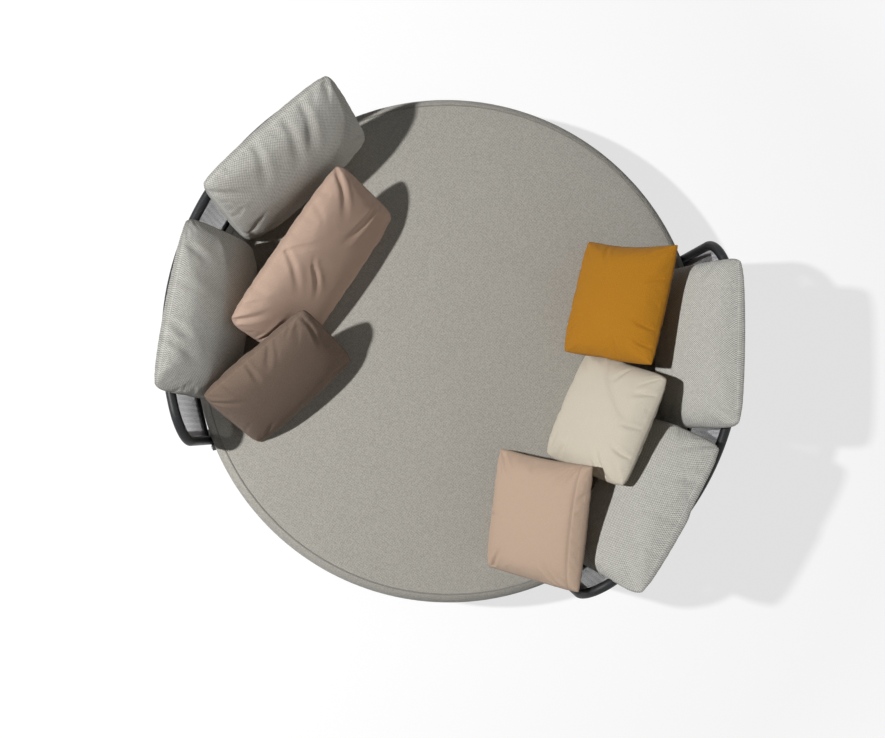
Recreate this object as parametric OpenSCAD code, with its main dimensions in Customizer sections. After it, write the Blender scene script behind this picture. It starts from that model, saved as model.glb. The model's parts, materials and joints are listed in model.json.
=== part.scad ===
// Round outdoor daybed. A steel ring frame in two halves stands on tube legs and carries slats and
// one round mattress. Two curved backrests of bent tube and stretched mesh rise at opposite sides.
// Four back cushions and five throw pillows lie on the mattress.
// X runs through the middles of both backrests, Z is up, and the floor is at Z = 0.

/* [Mattress] */
// Diameter of the mattress at its widest
mattress_d = 2240; // [2000:10:2500]
// Thickness of the mattress at its seams
mattress_h = 142; // [120:2:160]
// Height of the middle of the mattress above the floor
seat_height = 400; // [380:5:470]
// Rise of the mattress from its seam to its middle
mattress_crown = 8; // [4:1:16]
// How far the side of the mattress bulges past its seams
side_bulge = 42; // [30:1:50]
// Thickness of the cover
cover_t = 4; // [2:0.5:6]
// Diameter of the piping along the top seam
piping_d = 7; // [5:0.5:7.5]

/* [Base frame] */
// Diameter of the ring tube and the cross tubes
ring_tube_d = 40; // [34:1:46]
// Wall of all steel tubes
tube_wall = 2; // [1.5:0.25:3]
// How far the ring's outer side lies inside the mattress outline
ring_inset = 22; // [14:1:40]
// Space between the two cross tubes where the halves meet
halves_gap = 1; // [0.5:0.5:3]
// Thickness of a slat
slat_t = 15; // [12:1:20]
// Width of a slat
slat_w = 150; // [110:5:170]
// How far a slat's end stops short of the ring's outer side
slat_end_inset = 6; // [4:1:12]

/* [Legs] */
// Diameter of a leg
leg_d = 32; // [28:1:33]
// Height of a leg's glide below its tube
glide_h = 12; // [8:1:20]
// How deep a glide's plug reaches into its leg
glide_plug_h = 22; // [14:1:30]
// Height of the threaded insert in a leg's top
insert_h = 20; // [14:1:26]
// Width of the plate on the middle leg, across both cross tubes
plate_w = 76; // [70:2:100]
// Length of the plate on the middle leg
plate_l = 130; // [110:5:180]
// Thickness of the plate on the middle leg
plate_t = 5; // [4:0.5:8]
// Distance of the plate's screws from its ends
plate_screw_inset = 18; // [12:1:24]

/* [Backrests] */
// Diameter of the bent backrest tube
rail_tube_d = 40; // [32:1:44]
// Height of the top rail's centre line above the middle of the mattress
rail_rise = 290; // [250:5:330]
// How far the top rail's centre line lies outside the mattress outline
rail_offset = 55; // [50:1:80]
// How far a post's centre line lies outside the mattress outline at the ring
post_offset = 15; // [12:1:24]
// Centre-line radius of the bends at the top corners
corner_r = 130; // [110:5:150]
// Half the angle that the top rail's arc spans
rail_half_angle = 36; // [32:0.5:37]
// Diameter of the lower rail
lower_rail_d = 25; // [20:1:28]
// Height of the lower rail's centre line above the ring's centre line
lower_rail_rise = 62; // [54:1:80]
// Thickness of the stretched mesh
mesh_t = 2; // [1.5:0.5:3]
// Height of a post's end plug, with its rim
post_plug_h = 20; // [14:1:30]
// Thickness of the rim of a post's end plug
post_plug_rim = 3; // [2:0.5:5]

/* [Brackets and fasteners] */
// Length of a backrest bracket along the ring
bracket_l = 96; // [94:1:110]
// Height of a backrest bracket
bracket_h = 30; // [26:1:32]
// Distance between a bracket's middle bolt and its outer bolts
bracket_bolt_pitch = 33; // [32:0.5:36]
// Diameter of the frame bolts
bolt_d = 8; // [6:1:10]
// Diameter of a frame bolt's head
bolt_head_d = 13; // [12:0.5:15]
// Height of a frame bolt's head
bolt_head_h = 5; // [4:0.5:6]
// How far a frame bolt reaches past the last piece that it holds
bolt_end = 6; // [3:1:10]
// Width across the corners of a nut
nut_d = 15; // [14:0.5:17]
// Height of a nut
nut_h = 6.5; // [5:0.5:8]
// Diameter of the slat screws
screw_d = 5; // [4:0.5:6]
// Diameter of a slat screw's head
screw_head_d = 10; // [8:0.5:12]
// Height of a slat screw's head
screw_head_h = 3; // [2:0.5:5]
// How far a slat screw reaches into the tube below it
screw_reach = 12; // [8:1:16]

/* [Back cushions] */
// Width of a back cushion
back_w = 700; // [640:10:740]
// Height of a back cushion
back_h = 500; // [460:10:540]
// Crown of a back cushion's front skin
back_front = 152; // [130:5:175]
// Crown of a back cushion's rear skin
back_rear = 45; // [36:1:54]
// How far the ends of a back cushion bend forward round the backrest
back_bow = 40; // [30:1:46]
// Lean of a back cushion from upright
back_lean = 21; // [18:0.5:23]

/* [Throw pillows] */
// Width of the long peach pillow
peach_w = 800; // [740:10:830]
// Height of the long peach pillow
peach_h = 446; // [400:2:480]
// Width of the brown pillow
brown_w = 553; // [500:1:580]
// Height of the brown pillow
brown_h = 427; // [380:1:460]
// Width of the ochre pillow
ochre_w = 517; // [470:1:530]
// Height of the ochre pillow
ochre_h = 487; // [440:1:520]
// Side of the square cream pillow
cream_side = 496; // [450:1:510]
// Width of the beige pillow
beige_w = 523; // [470:1:540]
// Height of the beige pillow
beige_h = 493; // [440:1:520]
// Crown of a throw pillow's skins
pillow_crown = 82; // [65:1:90]

/* [Hidden] */

// Clearance between pieces that lie on each other
rest_gap = 0.3;
// Radial clearance of a bolt, screw or plug in its hole
hole_gap = 0.25;
// Overrun of a cutting shape past the face that it cuts
over = 5;
// Facets of a large round shape and of a small one
big_fn = 180;
small_fn = 48;
nut_sides = 6;

// Slats and outer legs on each half, and where the middle of the last slat lies, as a share of the ring's radius
slat_count = 7;
last_slat_share = 0.7375;
leg_count = 4;
leg_step = 180 / leg_count;
// Places of the joining bolts along a cross tube, as shares of the ring's radius
joining_bolt_shares = [-0.63, -0.13, 0.13, 0.63];

mattress_r = mattress_d / 2;
seam_r = mattress_r - side_bulge;
top_seam_z = seat_height - mattress_crown;
bottom_z = top_seam_z - mattress_h;
middle_z = bottom_z + mattress_h / 2;
// The mattress side is an arc through both seams and the widest place between them
side_r = (pow(mattress_h / 2, 2) + pow(side_bulge, 2)) / (2 * side_bulge);
panel_steps = 12;

slat_z = bottom_z - rest_gap - slat_t;
ring_z = slat_z - ring_tube_d / 2;
ring_r = mattress_r - ring_inset - ring_tube_d / 2;
ring_low_z = ring_z - ring_tube_d / 2;
cross_x = halves_gap / 2 + ring_tube_d / 2;
cross_half_l = sqrt(pow(ring_r, 2) - pow(cross_x, 2));
slat_pitch = 2 * last_slat_share * ring_r / (slat_count - 1);

rail_z = seat_height + rail_rise;
rail_r = mattress_r + rail_offset;
post_r = mattress_r + post_offset;
post_lean = atan((rail_r - post_r) / (rail_z - ring_z));
lower_rail_z = ring_z + lower_rail_rise;
lower_rail_r = post_r + lower_rail_rise * tan(post_lean);
// A post ends a little below its bracket
post_tail = bracket_h / 2 + bolt_head_d;
post_l = (rail_z - ring_z + post_tail) / cos(post_lean) - corner_r;
mesh_h = (rail_z - lower_rail_z) / cos(post_lean);

// Overlap of the sewn end pieces with the rest of a mesh
hem_w = 10;

insert_z = ring_low_z - bolt_head_d - insert_h;
plate_screw_y = plate_l / 2 - plate_screw_inset;
tube_bore = 2 * tube_wall;

// How far the sides of a cushion are drawn in between its corners, and how far its corners are rounded
// off, as shares of half its width or height
waist_share = 0.03;
corner_share = 0.03;
// How much lower than the middle a back cushion's crown lies, as a share of the crown
sag_share = 0.38;
// Roundness of a cushion's crown: lower is boxier
fullness = 0.76;
// How deep a cushion's own weight presses it onto the mattress, and the height over which it flattens
press_depth = 14;
press_height = 22;
back_steps = 8;
pillow_steps = 7;

steel = [0.21, 0.21, 0.215];
slat_grey = [0.62, 0.6, 0.57];
mesh_grey = [0.52, 0.51, 0.52];
rubber = [0.1, 0.1, 0.1];
zinc = [0.6, 0.6, 0.62];
foam = [0.9, 0.88, 0.8];
mattress_grey = [0.66, 0.64, 0.61];
cushion_grey = [0.65, 0.65, 0.63];

function slat_y(i) = (i - (slat_count + 1) / 2) * slat_pitch;
function ring_x(y) = sqrt(pow(ring_r, 2) - y * y);
function leg_angle(i) = (i - (leg_count + 1) / 2) * leg_step;
// Height of the mattress top at the distance r from its middle
function seat_z(r) = seat_height - mattress_crown * pow(min(r, seam_r) / seam_r, 2);

// Draws the children for the east half, or turned about Z for the west half.
module half(side) {
    rotate([0, 0, side == "west" ? 180 : 0]) children();
}

// Places the children where both corner bends of a backrest start, with Y along the rail, away
// from the backrest's middle, and X outwards.
module rail_ends() {
    rotate([0, 0, rail_half_angle]) children();
    mirror([0, 1, 0]) rotate([0, 0, rail_half_angle]) children();
}

// An arc of tube, or a whole ring, around Z. With no wall it is a solid bar.
module arc_tube(r, d, wall, from = 0, span = 360) {
    rotate([0, 0, from])
        rotate_extrude(angle = span, $fn = big_fn)
            translate([r, 0]) difference() {
                circle(d = d, $fn = small_fn);
                if (wall > 0) circle(d = d - 2 * wall, $fn = small_fn);
            }
}

// A straight tube, or with no wall a solid bar, of the length l up from the origin.
module straight_tube(d, wall, l) {
    difference() {
        cylinder(d = d, h = l, $fn = small_fn);
        if (wall > 0) translate([0, 0, -over]) cylinder(d = d - 2 * wall, h = l + 2 * over, $fn = small_fn);
    }
}

// A bolt with its head above the origin and its shank l down.
module bolt(l) {
    translate([0, 0, -l]) cylinder(d = bolt_d, h = l, $fn = small_fn);
    cylinder(d = bolt_head_d, h = bolt_head_h, $fn = small_fn);
}

// A drilling tool for a bolt or a screw of the diameter d, l down from the origin.
module drill(d, l) {
    translate([0, 0, -l]) cylinder(d = d + 2 * hole_gap, h = l + over, $fn = small_fn);
}

// Half of the base: a half ring welded to the cross tube where the halves meet. The cross tube's
// ends are coped into the middle of the ring's wall. The screws and the bracket bolts cut their own threads.
module base_frame(side) {
    split = asin(halves_gap / 2 / ring_r);
    color(steel) half(side) translate([0, 0, ring_z]) {
        difference() {
            arc_tube(ring_r, ring_tube_d, tube_wall, split - 90, 180 - 2 * split);
            for (i = [1:leg_count]) rotate([0, 0, leg_angle(i)])
                translate([ring_r, 0, ring_tube_d / 2]) drill(bolt_d, ring_tube_d + over);
        }
        difference() {
            translate([cross_x, cross_half_l, 0]) rotate([90, 0, 0])
                straight_tube(ring_tube_d, tube_wall, 2 * cross_half_l);
            arc_tube(ring_r, ring_tube_d - tube_wall, 0);
            for (share = joining_bolt_shares)
                translate([ring_tube_d + halves_gap, share * ring_r, 0]) rotate([0, 90, 0])
                    drill(bolt_d, ring_tube_d + 2 * halves_gap + over);
        }
    }
}

// One outer leg, coped at its top to the underside of the ring.
module outer_leg(side, i) {
    color(steel) half(side) rotate([0, 0, leg_angle(i)]) difference() {
        translate([ring_r, 0, glide_h]) straight_tube(leg_d, tube_wall, ring_z - glide_h);
        translate([0, 0, ring_z]) arc_tube(ring_r, ring_tube_d, 0, -leg_step / 2, leg_step);
    }
}

// The middle leg, with the plate that ties both cross tubes together.
module middle_leg() {
    color(steel) {
        translate([0, 0, glide_h]) straight_tube(leg_d, tube_wall, ring_low_z - plate_t - glide_h);
        difference() {
            translate([-plate_w / 2, -plate_l / 2, ring_low_z - plate_t]) cube([plate_w, plate_l, plate_t]);
            for (x = [-cross_x, cross_x], y = [-plate_screw_y, plate_screw_y])
                translate([x, y, ring_low_z]) drill(screw_d, plate_t + over);
        }
    }
}

module glide() {
    cylinder(d = leg_d, h = glide_h, $fn = small_fn);
    cylinder(d = leg_d - tube_bore - 2 * hole_gap, h = glide_h + glide_plug_h, $fn = small_fn);
}

// Places the children at all outer legs.
module at_outer_legs() {
    for (side = ["east", "west"], i = [1:leg_count])
        half(side) rotate([0, 0, leg_angle(i)]) translate([ring_r, 0, 0]) children();
}

// The glides under the legs. The middle one's underside holds the origin.
module leg_glides() {
    color(rubber) {
        glide();
        at_outer_legs() glide();
    }
}

// Threaded inserts in the tops of the outer legs.
module leg_inserts() {
    color(zinc) at_outer_legs() translate([0, 0, insert_z]) difference() {
        cylinder(d = leg_d - tube_bore - 2 * hole_gap, h = insert_h, $fn = small_fn);
        translate([0, 0, insert_h]) drill(bolt_d, insert_h + over);
    }
}

// Bolts down through the ring into the legs.
module leg_bolts() {
    color(zinc) at_outer_legs() translate([0, 0, slat_z]) bolt(slat_z - insert_z);
}

module joining_bolts() {
    color(zinc) for (share = joining_bolt_shares)
        translate([cross_x + ring_tube_d / 2, share * ring_r, ring_z]) rotate([0, 90, 0])
            bolt(2 * cross_x + ring_tube_d + nut_h + bolt_end);
}

module joining_nuts() {
    color(zinc) for (share = joining_bolt_shares)
        translate([-cross_x - ring_tube_d / 2 - nut_h, share * ring_r, ring_z]) rotate([0, 90, 0]) difference() {
            cylinder(d = nut_d, h = nut_h, $fn = nut_sides);
            translate([0, 0, nut_h]) drill(bolt_d, nut_h + over);
        }
}

// A slat from the cross tube to the ring, its outer end cut to the ring's curve.
module slat(side, i) {
    color(slat_grey) half(side) difference() {
        intersection() {
            translate([halves_gap / 2, slat_y(i) - slat_w / 2, slat_z]) cube([mattress_r, slat_w, slat_t]);
            translate([0, 0, slat_z - over])
                cylinder(r = ring_r + ring_tube_d / 2 - slat_end_inset, h = slat_t + 2 * over, $fn = big_fn);
        }
        for (x = [cross_x, ring_x(slat_y(i))]) translate([x, slat_y(i), slat_z + slat_t]) {
            drill(screw_d, slat_t + over);
            drill(screw_head_d, screw_head_h);
        }
    }
}

// A countersunk screw with the top of its head at the origin.
module screw(l) {
    translate([0, 0, -l]) cylinder(d = screw_d, h = l, $fn = small_fn);
    translate([0, 0, -screw_head_h]) cylinder(d = screw_head_d, h = screw_head_h, $fn = small_fn);
}

// The screws of the slats, and those of the middle leg's plate.
module frame_screws() {
    color(zinc) {
        for (side = ["east", "west"], i = [1:slat_count]) half(side)
            for (x = [cross_x, ring_x(slat_y(i))])
                translate([x, slat_y(i), slat_z + slat_t]) screw(slat_t + screw_reach);
        for (x = [-cross_x, cross_x], y = [-plate_screw_y, plate_screw_y])
            translate([x, y, ring_low_z - plate_t - screw_head_h]) mirror([0, 0, 1])
                screw(screw_head_h + plate_t + screw_reach);
    }
}

// The straight posts of a backrest, as tubes or solid bars, from the corner bends down.
module posts(wall) {
    rail_ends() translate([rail_r, 0, rail_z]) rotate([0, post_lean, 0])
        translate([0, corner_r, -corner_r - post_l]) straight_tube(rail_tube_d, wall, post_l);
}

// The top rail of a backrest, welded flush to the side posts.
module top_rail(side) {
    color(steel) half(side) translate([0, 0, rail_z])
        arc_tube(rail_r, rail_tube_d, tube_wall, -rail_half_angle, 2 * rail_half_angle);
}

// Both side posts of a backrest: a corner bend and a leaning post, drilled for its bracket bolt.
module side_posts(side) {
    color(steel) half(side) {
        rail_ends() translate([rail_r, 0, rail_z]) rotate([0, post_lean, 0])
            translate([0, 0, -corner_r]) rotate([0, -90, 0]) arc_tube(corner_r, rail_tube_d, tube_wall, 0, 90);
        difference() {
            posts(tube_wall);
            rail_ends() translate([post_r + rail_tube_d, corner_r, ring_z]) rotate([0, 90, 0])
                drill(bolt_d, 2 * rail_tube_d);
        }
    }
}

// The lower rail of a backrest, coped to the posts at its ends.
module lower_rail(side) {
    color(steel) half(side) difference() {
        translate([0, 0, lower_rail_z]) {
            arc_tube(lower_rail_r, lower_rail_d, tube_wall, -rail_half_angle, 2 * rail_half_angle);
            rail_ends() translate([lower_rail_r, 0, 0]) rotate([-90, 0, 0])
                straight_tube(lower_rail_d, tube_wall, corner_r);
        }
        posts(0);
    }
}

// The mesh stretched between the rails and posts, whose tubes its edges meet: a strip of a cone, with
// a flat piece of doubled cloth sewn on at each end.
module back_mesh(side) {
    low = lower_rail_d / 2;
    high = mesh_h - rail_tube_d / 2;
    edge_r = corner_r - rail_tube_d / 2;
    along = [sin(post_lean), cos(post_lean)];
    across = [cos(post_lean), -sin(post_lean)] * mesh_t / 2;
    foot = [lower_rail_r, lower_rail_z] + rest_gap * along;
    strip_h = high - low - 2 * rest_gap;
    color(mesh_grey) half(side) {
        rotate([0, 0, -rail_half_angle]) rotate_extrude(angle = 2 * rail_half_angle, $fn = big_fn)
            polygon([
                foot + low * along + across, foot + (low + strip_h) * along + across,
                foot + (low + strip_h) * along - across, foot + low * along - across
            ]);
        rail_ends() translate([lower_rail_r, 0, lower_rail_z]) rotate([0, post_lean, 0])
            translate([-mesh_t, 0, 0]) rotate([90, 0, 90]) linear_extrude(2 * mesh_t) {
                translate([-hem_w, low]) square([hem_w, high - low]);
                translate([-hem_w, low]) square([hem_w + edge_r, mesh_h - corner_r - low]);
                intersection() {
                    translate([0, mesh_h - corner_r]) circle(r = edge_r, $fn = big_fn);
                    translate([-hem_w, mesh_h - corner_r]) square(edge_r + hem_w);
                }
            }
    }
}

// Cast saddles that hold the posts to the outside of the ring.
module brackets(side) {
    inner_x = ring_x(corner_r + bracket_l / 2) - ring_tube_d / 2;
    color(steel) half(side) difference() {
        rail_ends() translate([inner_x, corner_r - bracket_l / 2, ring_z - bracket_h / 2])
            cube([post_r - inner_x, bracket_l, bracket_h]);
        translate([0, 0, ring_z - bracket_h]) cylinder(r = ring_r, h = 2 * bracket_h, $fn = big_fn);
        translate([0, 0, ring_z]) arc_tube(ring_r, ring_tube_d, 0, -2 * leg_step, 4 * leg_step);
        posts(0);
        rail_ends() for (k = [-1:1])
            translate([post_r, corner_r + k * bracket_bolt_pitch, ring_z]) rotate([0, 90, 0])
                drill(bolt_d, 2 * ring_tube_d);
    }
}

// Three bolts for each bracket: the middle one holds the post.
module bracket_bolts(side) {
    post_face = (rail_tube_d + bolt_head_d * sin(post_lean)) / 2 / cos(post_lean);
    color(zinc) half(side) rail_ends() for (k = [-1:1]) {
        y = corner_r + k * bracket_bolt_pitch;
        out = k == 0 ? post_face : 0;
        inner_x = ring_x(y) + ring_tube_d / 2 - tube_wall - bolt_end;
        translate([post_r + out, y, ring_z]) rotate([0, 90, 0]) bolt(post_r + out - inner_x);
    }
}

// Plugs in the lower ends of all four posts.
module post_plugs() {
    color(rubber) for (side = ["east", "west"]) half(side)
        rail_ends() translate([rail_r, 0, rail_z]) rotate([0, post_lean, 0])
            translate([0, corner_r, -corner_r - post_l - post_plug_rim]) {
                cylinder(d = rail_tube_d, h = post_plug_rim, $fn = small_fn);
                cylinder(d = rail_tube_d - tube_bore - 2 * hole_gap, h = post_plug_h, $fn = small_fn);
            }
}

// The mattress top between the radii 0 and seam_r, lowered by drop, as a list of points outwards.
function crown_line(drop) = [for (k = [0:panel_steps]) let(r = seam_r * k / panel_steps) [r, seat_z(r) - drop]];

// The section of the mattress below its top panel, with its sides drawn in by the distance inset.
module mattress_section(inset) {
    intersection() {
        union() {
            translate([0, bottom_z]) square([seam_r, seat_height - bottom_z]);
            translate([mattress_r - side_r, middle_z]) intersection() {
                circle(r = side_r - inset, $fn = big_fn);
                translate([0, -side_r]) square([side_r, 2 * side_r]);
            }
        }
        polygon(concat(
            crown_line(inset), [[mattress_r, top_seam_z - inset], [mattress_r, bottom_z + inset], [0, bottom_z + inset]]
        ));
    }
}

module mattress_core() {
    color(foam) rotate_extrude($fn = big_fn) mattress_section(cover_t + rest_gap);
}

module mattress_top_panel() {
    top = crown_line(0);
    under = crown_line(cover_t);
    color(mattress_grey) rotate_extrude($fn = big_fn)
        polygon(concat(top, [for (k = [panel_steps:-1:0]) under[k]]));
}

module mattress_side_band() {
    color(mattress_grey) rotate_extrude($fn = big_fn) intersection() {
        translate([mattress_r - side_r, middle_z]) difference() {
            circle(r = side_r, $fn = big_fn);
            circle(r = side_r - cover_t, $fn = big_fn);
        }
        translate([seam_r, bottom_z]) square([2 * side_bulge, mattress_h]);
    }
}

module mattress_bottom_panel() {
    color(mattress_grey) translate([0, 0, bottom_z]) cylinder(r = seam_r, h = cover_t, $fn = big_fn);
}

// The piping bead that stands on the top seam.
module mattress_piping() {
    color(mattress_grey) translate([0, 0, top_seam_z + piping_d / 2]) arc_tube(seam_r, piping_d, 0);
}

// A cushion or pillow is a list of its width, height, front crown, rear crown, lean from upright,
// facing (the direction of its back), roll, distance from the middle, direction from the middle,
// sag share, steps and bow. Both skins bulge from its seam, whose ends the bow bends forward.
function turned(p, deg) = [p[0] * cos(deg) - p[1] * sin(deg), p[0] * sin(deg) + p[1] * cos(deg), p[2]];
function leaned(p, lean) = [p[1] * sin(lean) - p[2] * cos(lean), -p[0], p[1] * cos(lean) + p[2] * sin(lean)];
function drawn_in(u) = 1 - waist_share * (1 - u * u) - corner_share * pow(u, 8);

// The point of a skin at the angles a across and b up, each from -90 to 90 degrees between the seams.
// The seam is drawn in between the corners, and the crown is a rounded product of two cosines.
function skin_point(c, a, b, front) =
    let(
        s = sin(a), t = sin(b),
        bulge = pow(abs(cos(a) * cos(b)), fullness) * (1 - c[9] * t),
        skin = front ? c[2] * bulge : -c[3] * bulge,
        p = [s * c[0] / 2 * drawn_in(t), t * c[1] / 2 * drawn_in(s), skin + c[11] * s * s]
    )
    turned(leaned(turned(p, c[6]), c[4]), c[5]) + [c[7] * cos(c[8]), c[7] * sin(c[8]), 0];

function above_seat(p) = p[2] - seat_z(norm([p[0], p[1]]));
// The height of a point over the seat once the filling has settled: the lowest part flattens smoothly.
function settled(h) = h > press_height ? h : press_height * exp((h - press_height) / press_height);

// Lowers the points onto the mattress, flattens what presses on it, and leaves the rest clearance.
function seated(points) =
    let(
        low = min([for (p = points) above_seat(p)]),
        pressed = [for (p = points) [p[0], p[1], p[2] - above_seat(p) + settled(above_seat(p) - low - press_depth)]],
        lowest = min([for (p = pressed) above_seat(p)])
    )
    [for (p = pressed) [p[0], p[1], p[2] - lowest + rest_gap]];

// The number of a skin's grid point in the list of points. Both skins share the seam's points.
function grid_index(n, i, j, front) =
    let(m = 2 * n + 1)
    front || i == 0 || j == 0 || i == m - 1 || j == m - 1 ? i * m + j : m * m + (i - 1) * (m - 2) + j - 1;

module cushion(c, shade) {
    n = c[10];
    last = 2 * n;
    step = 90 / n;
    points = concat(
        [for (i = [0:last], j = [0:last]) skin_point(c, (i - n) * step, (j - n) * step, true)],
        [for (i = [1:last - 1], j = [1:last - 1]) skin_point(c, (i - n) * step, (j - n) * step, false)]
    );
    // The diagonals run to the corners, so that no triangle of one skin lies on one of the other.
    faces = [
        for (front = [true, false], i = [0:last - 1], j = [0:last - 1])
            let(
                p = grid_index(n, i, j, front), q = grid_index(n, i + 1, j, front),
                r = grid_index(n, i + 1, j + 1, front), s = grid_index(n, i, j + 1, front),
                pair = (i < n) == (j < n) ? [[p, r, q], [p, s, r]] : [[p, s, q], [q, s, r]]
            )
            each (front ? pair : [for (t = pair) [t[0], t[2], t[1]]])
    ];
    color(shade) polyhedron(points = seated(points), faces = faces, convexity = 4);
}

// Facing and direction are angles, and the distance is worked out from what the cushion leans on: its
// rear crown stands the share gap_share of that crown off the top rail, and its farther end, which the
// bow bends forward, stays inside the rail as well.
function back_cushion(facing, direction, gap_share) =
    let(
        inner_r = rail_r - rail_tube_d / 2,
        lean_drop = (rail_z - seat_height - back_h / 2 * cos(back_lean)) * tan(back_lean),
        at_middle = inner_r - back_rear * (1 + gap_share) / cos(back_lean) - lean_drop,
        end_reach = min(inner_r, back_w / 2 + at_middle * abs(sin(direction - facing))),
        at_end = sqrt(pow(inner_r, 2) - pow(end_reach, 2)) + back_bow - rest_gap - lean_drop
    )
    [back_w, back_h, back_front, back_rear, back_lean, facing, 0,
        min(at_middle, at_end), direction, sag_share, back_steps, back_bow];

// Distances from the middle of the daybed are shares of the mattress radius.
function pillow(w, h, lean, facing, roll, radius_share, direction) =
    [w, h, pillow_crown, pillow_crown, lean, facing, roll, radius_share * mattress_r, direction, 0,
        pillow_steps, 0];

module east_back_cushion_upper() { cushion(back_cushion(19.5, 20.4, 0.45), cushion_grey); }
module east_back_cushion_lower() { cushion(back_cushion(-9, -19.2, 0.98), cushion_grey); }
module west_back_cushion_upper() { cushion(back_cushion(154.5, 155, 0.35), cushion_grey); }
module west_back_cushion_lower() { cushion(back_cushion(191.6, 195.4, 0.36), cushion_grey); }
module peach_pillow() { cushion(pillow(peach_w, peach_h, 39.8, 167, 1, 0.597, 173.3), [0.81, 0.71, 0.63]); }
module brown_pillow() { cushion(pillow(brown_w, brown_h, 40, 151, 4, 0.666, 213.1), [0.47, 0.4, 0.35]); }
module ochre_pillow() { cushion(pillow(ochre_w, ochre_h, 40, 10.4, -2.9, 0.645, 35.6), [0.72, 0.51, 0.14]); }
module cream_pillow() { cushion(pillow(cream_side, cream_side, 36, 1.3, -4.2, 0.63, -5.4), [0.87, 0.84, 0.76]); }
module beige_pillow() { cushion(pillow(beige_w, beige_h, 44, 21.8, -8.9, 0.729, -43.4), [0.8, 0.7, 0.61]); }

base_frame("east");  // base_frame_east
base_frame("west");  // base_frame_west
for (i = [1:leg_count]) {
    outer_leg("east", i);
    outer_leg("west", i);
}
middle_leg();
leg_glides();
leg_inserts();
leg_bolts();
joining_bolts();
joining_nuts();
for (i = [1:slat_count]) {
    slat("east", i);
    slat("west", i);
}
frame_screws();
for (side = ["east", "west"]) {
    top_rail(side);
    side_posts(side);
    lower_rail(side);
    back_mesh(side);
    brackets(side);
    bracket_bolts(side);
}
post_plugs();
mattress_core();
mattress_top_panel();
mattress_side_band();
mattress_bottom_panel();
mattress_piping();
east_back_cushion_upper();
east_back_cushion_lower();
west_back_cushion_upper();
west_back_cushion_lower();
peach_pillow();
brown_pillow();
ochre_pillow();
cream_pillow();
beige_pillow();
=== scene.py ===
"""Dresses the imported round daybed: bent backrests, stretched mesh, mattress, cushions and pillows.

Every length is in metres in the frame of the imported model: X runs through the middles of both
backrests, Z is up and the floor is at Z = 0.
"""

from __future__ import annotations

import json
import logging
import math
from dataclasses import dataclass, field
from enum import Enum
from itertools import combinations

import bpy
import numpy as np
from mathutils import Matrix, Vector

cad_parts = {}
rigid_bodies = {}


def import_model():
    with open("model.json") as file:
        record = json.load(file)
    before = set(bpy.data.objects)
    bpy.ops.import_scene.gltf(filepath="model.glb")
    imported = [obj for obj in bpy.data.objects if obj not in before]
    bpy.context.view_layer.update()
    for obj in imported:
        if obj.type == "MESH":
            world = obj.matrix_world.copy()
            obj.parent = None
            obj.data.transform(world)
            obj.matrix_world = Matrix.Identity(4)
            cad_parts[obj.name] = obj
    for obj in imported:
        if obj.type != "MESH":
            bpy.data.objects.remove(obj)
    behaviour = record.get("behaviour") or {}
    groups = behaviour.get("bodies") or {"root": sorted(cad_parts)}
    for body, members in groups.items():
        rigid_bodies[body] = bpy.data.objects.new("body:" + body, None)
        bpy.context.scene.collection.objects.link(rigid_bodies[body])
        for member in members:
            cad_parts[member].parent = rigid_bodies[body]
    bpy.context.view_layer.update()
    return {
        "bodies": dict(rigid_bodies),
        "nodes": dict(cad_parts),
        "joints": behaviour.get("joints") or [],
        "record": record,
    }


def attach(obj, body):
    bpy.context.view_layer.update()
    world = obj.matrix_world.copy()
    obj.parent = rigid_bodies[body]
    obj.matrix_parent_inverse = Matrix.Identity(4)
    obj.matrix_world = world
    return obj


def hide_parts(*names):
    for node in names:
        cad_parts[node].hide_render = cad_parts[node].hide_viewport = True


LOG = logging.getLogger("daybed")

FloatArray = np.ndarray
IntArray = np.ndarray
Rgb = tuple[int, int, int]

WEAVE_MAP = "weave"
SEAM_DISTANCE = "seam_distance"
WHITE = (1.0, 1.0, 1.0, 1.0)


# Mesh making


def smooth_step(x: FloatArray, low: float, high: float) -> FloatArray:
    """Rises smoothly from 0 at low to 1 at high, as three times the square less two times the cube.

    Args:
        x: Values to map.
        low: Value that gives 0.
        high: Value that gives 1.

    Returns:
        An array of the shape of x, from 0 to 1.
    """
    p = np.clip((x - low) / (high - low), 0.0, 1.0)
    return p * p * (3.0 - 2.0 * p)


def grid_quads(rows: int, columns: int, wrap: bool = False) -> IntArray:
    """Numbers the quads of a grid of points that is stored row by row.

    Args:
        rows: Points down the grid.
        columns: Points across the grid.
        wrap: Whether the last column joins the first one.

    Returns:
        An array of four corner numbers a quad: corner, next column, opposite, next row.
    """
    last = columns if wrap else columns - 1
    i, j = np.meshgrid(np.arange(rows - 1), np.arange(last), indexing="ij")
    row, next_row, beside = i * columns, (i + 1) * columns, (j + 1) % columns
    corners = (row + j, row + beside, next_row + beside, next_row + j)
    return np.stack([c.ravel() for c in corners], axis=1)


def show(item: bpy.types.Object) -> None:
    """Links an object to the scene."""
    bpy.context.scene.collection.objects.link(item)


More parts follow.
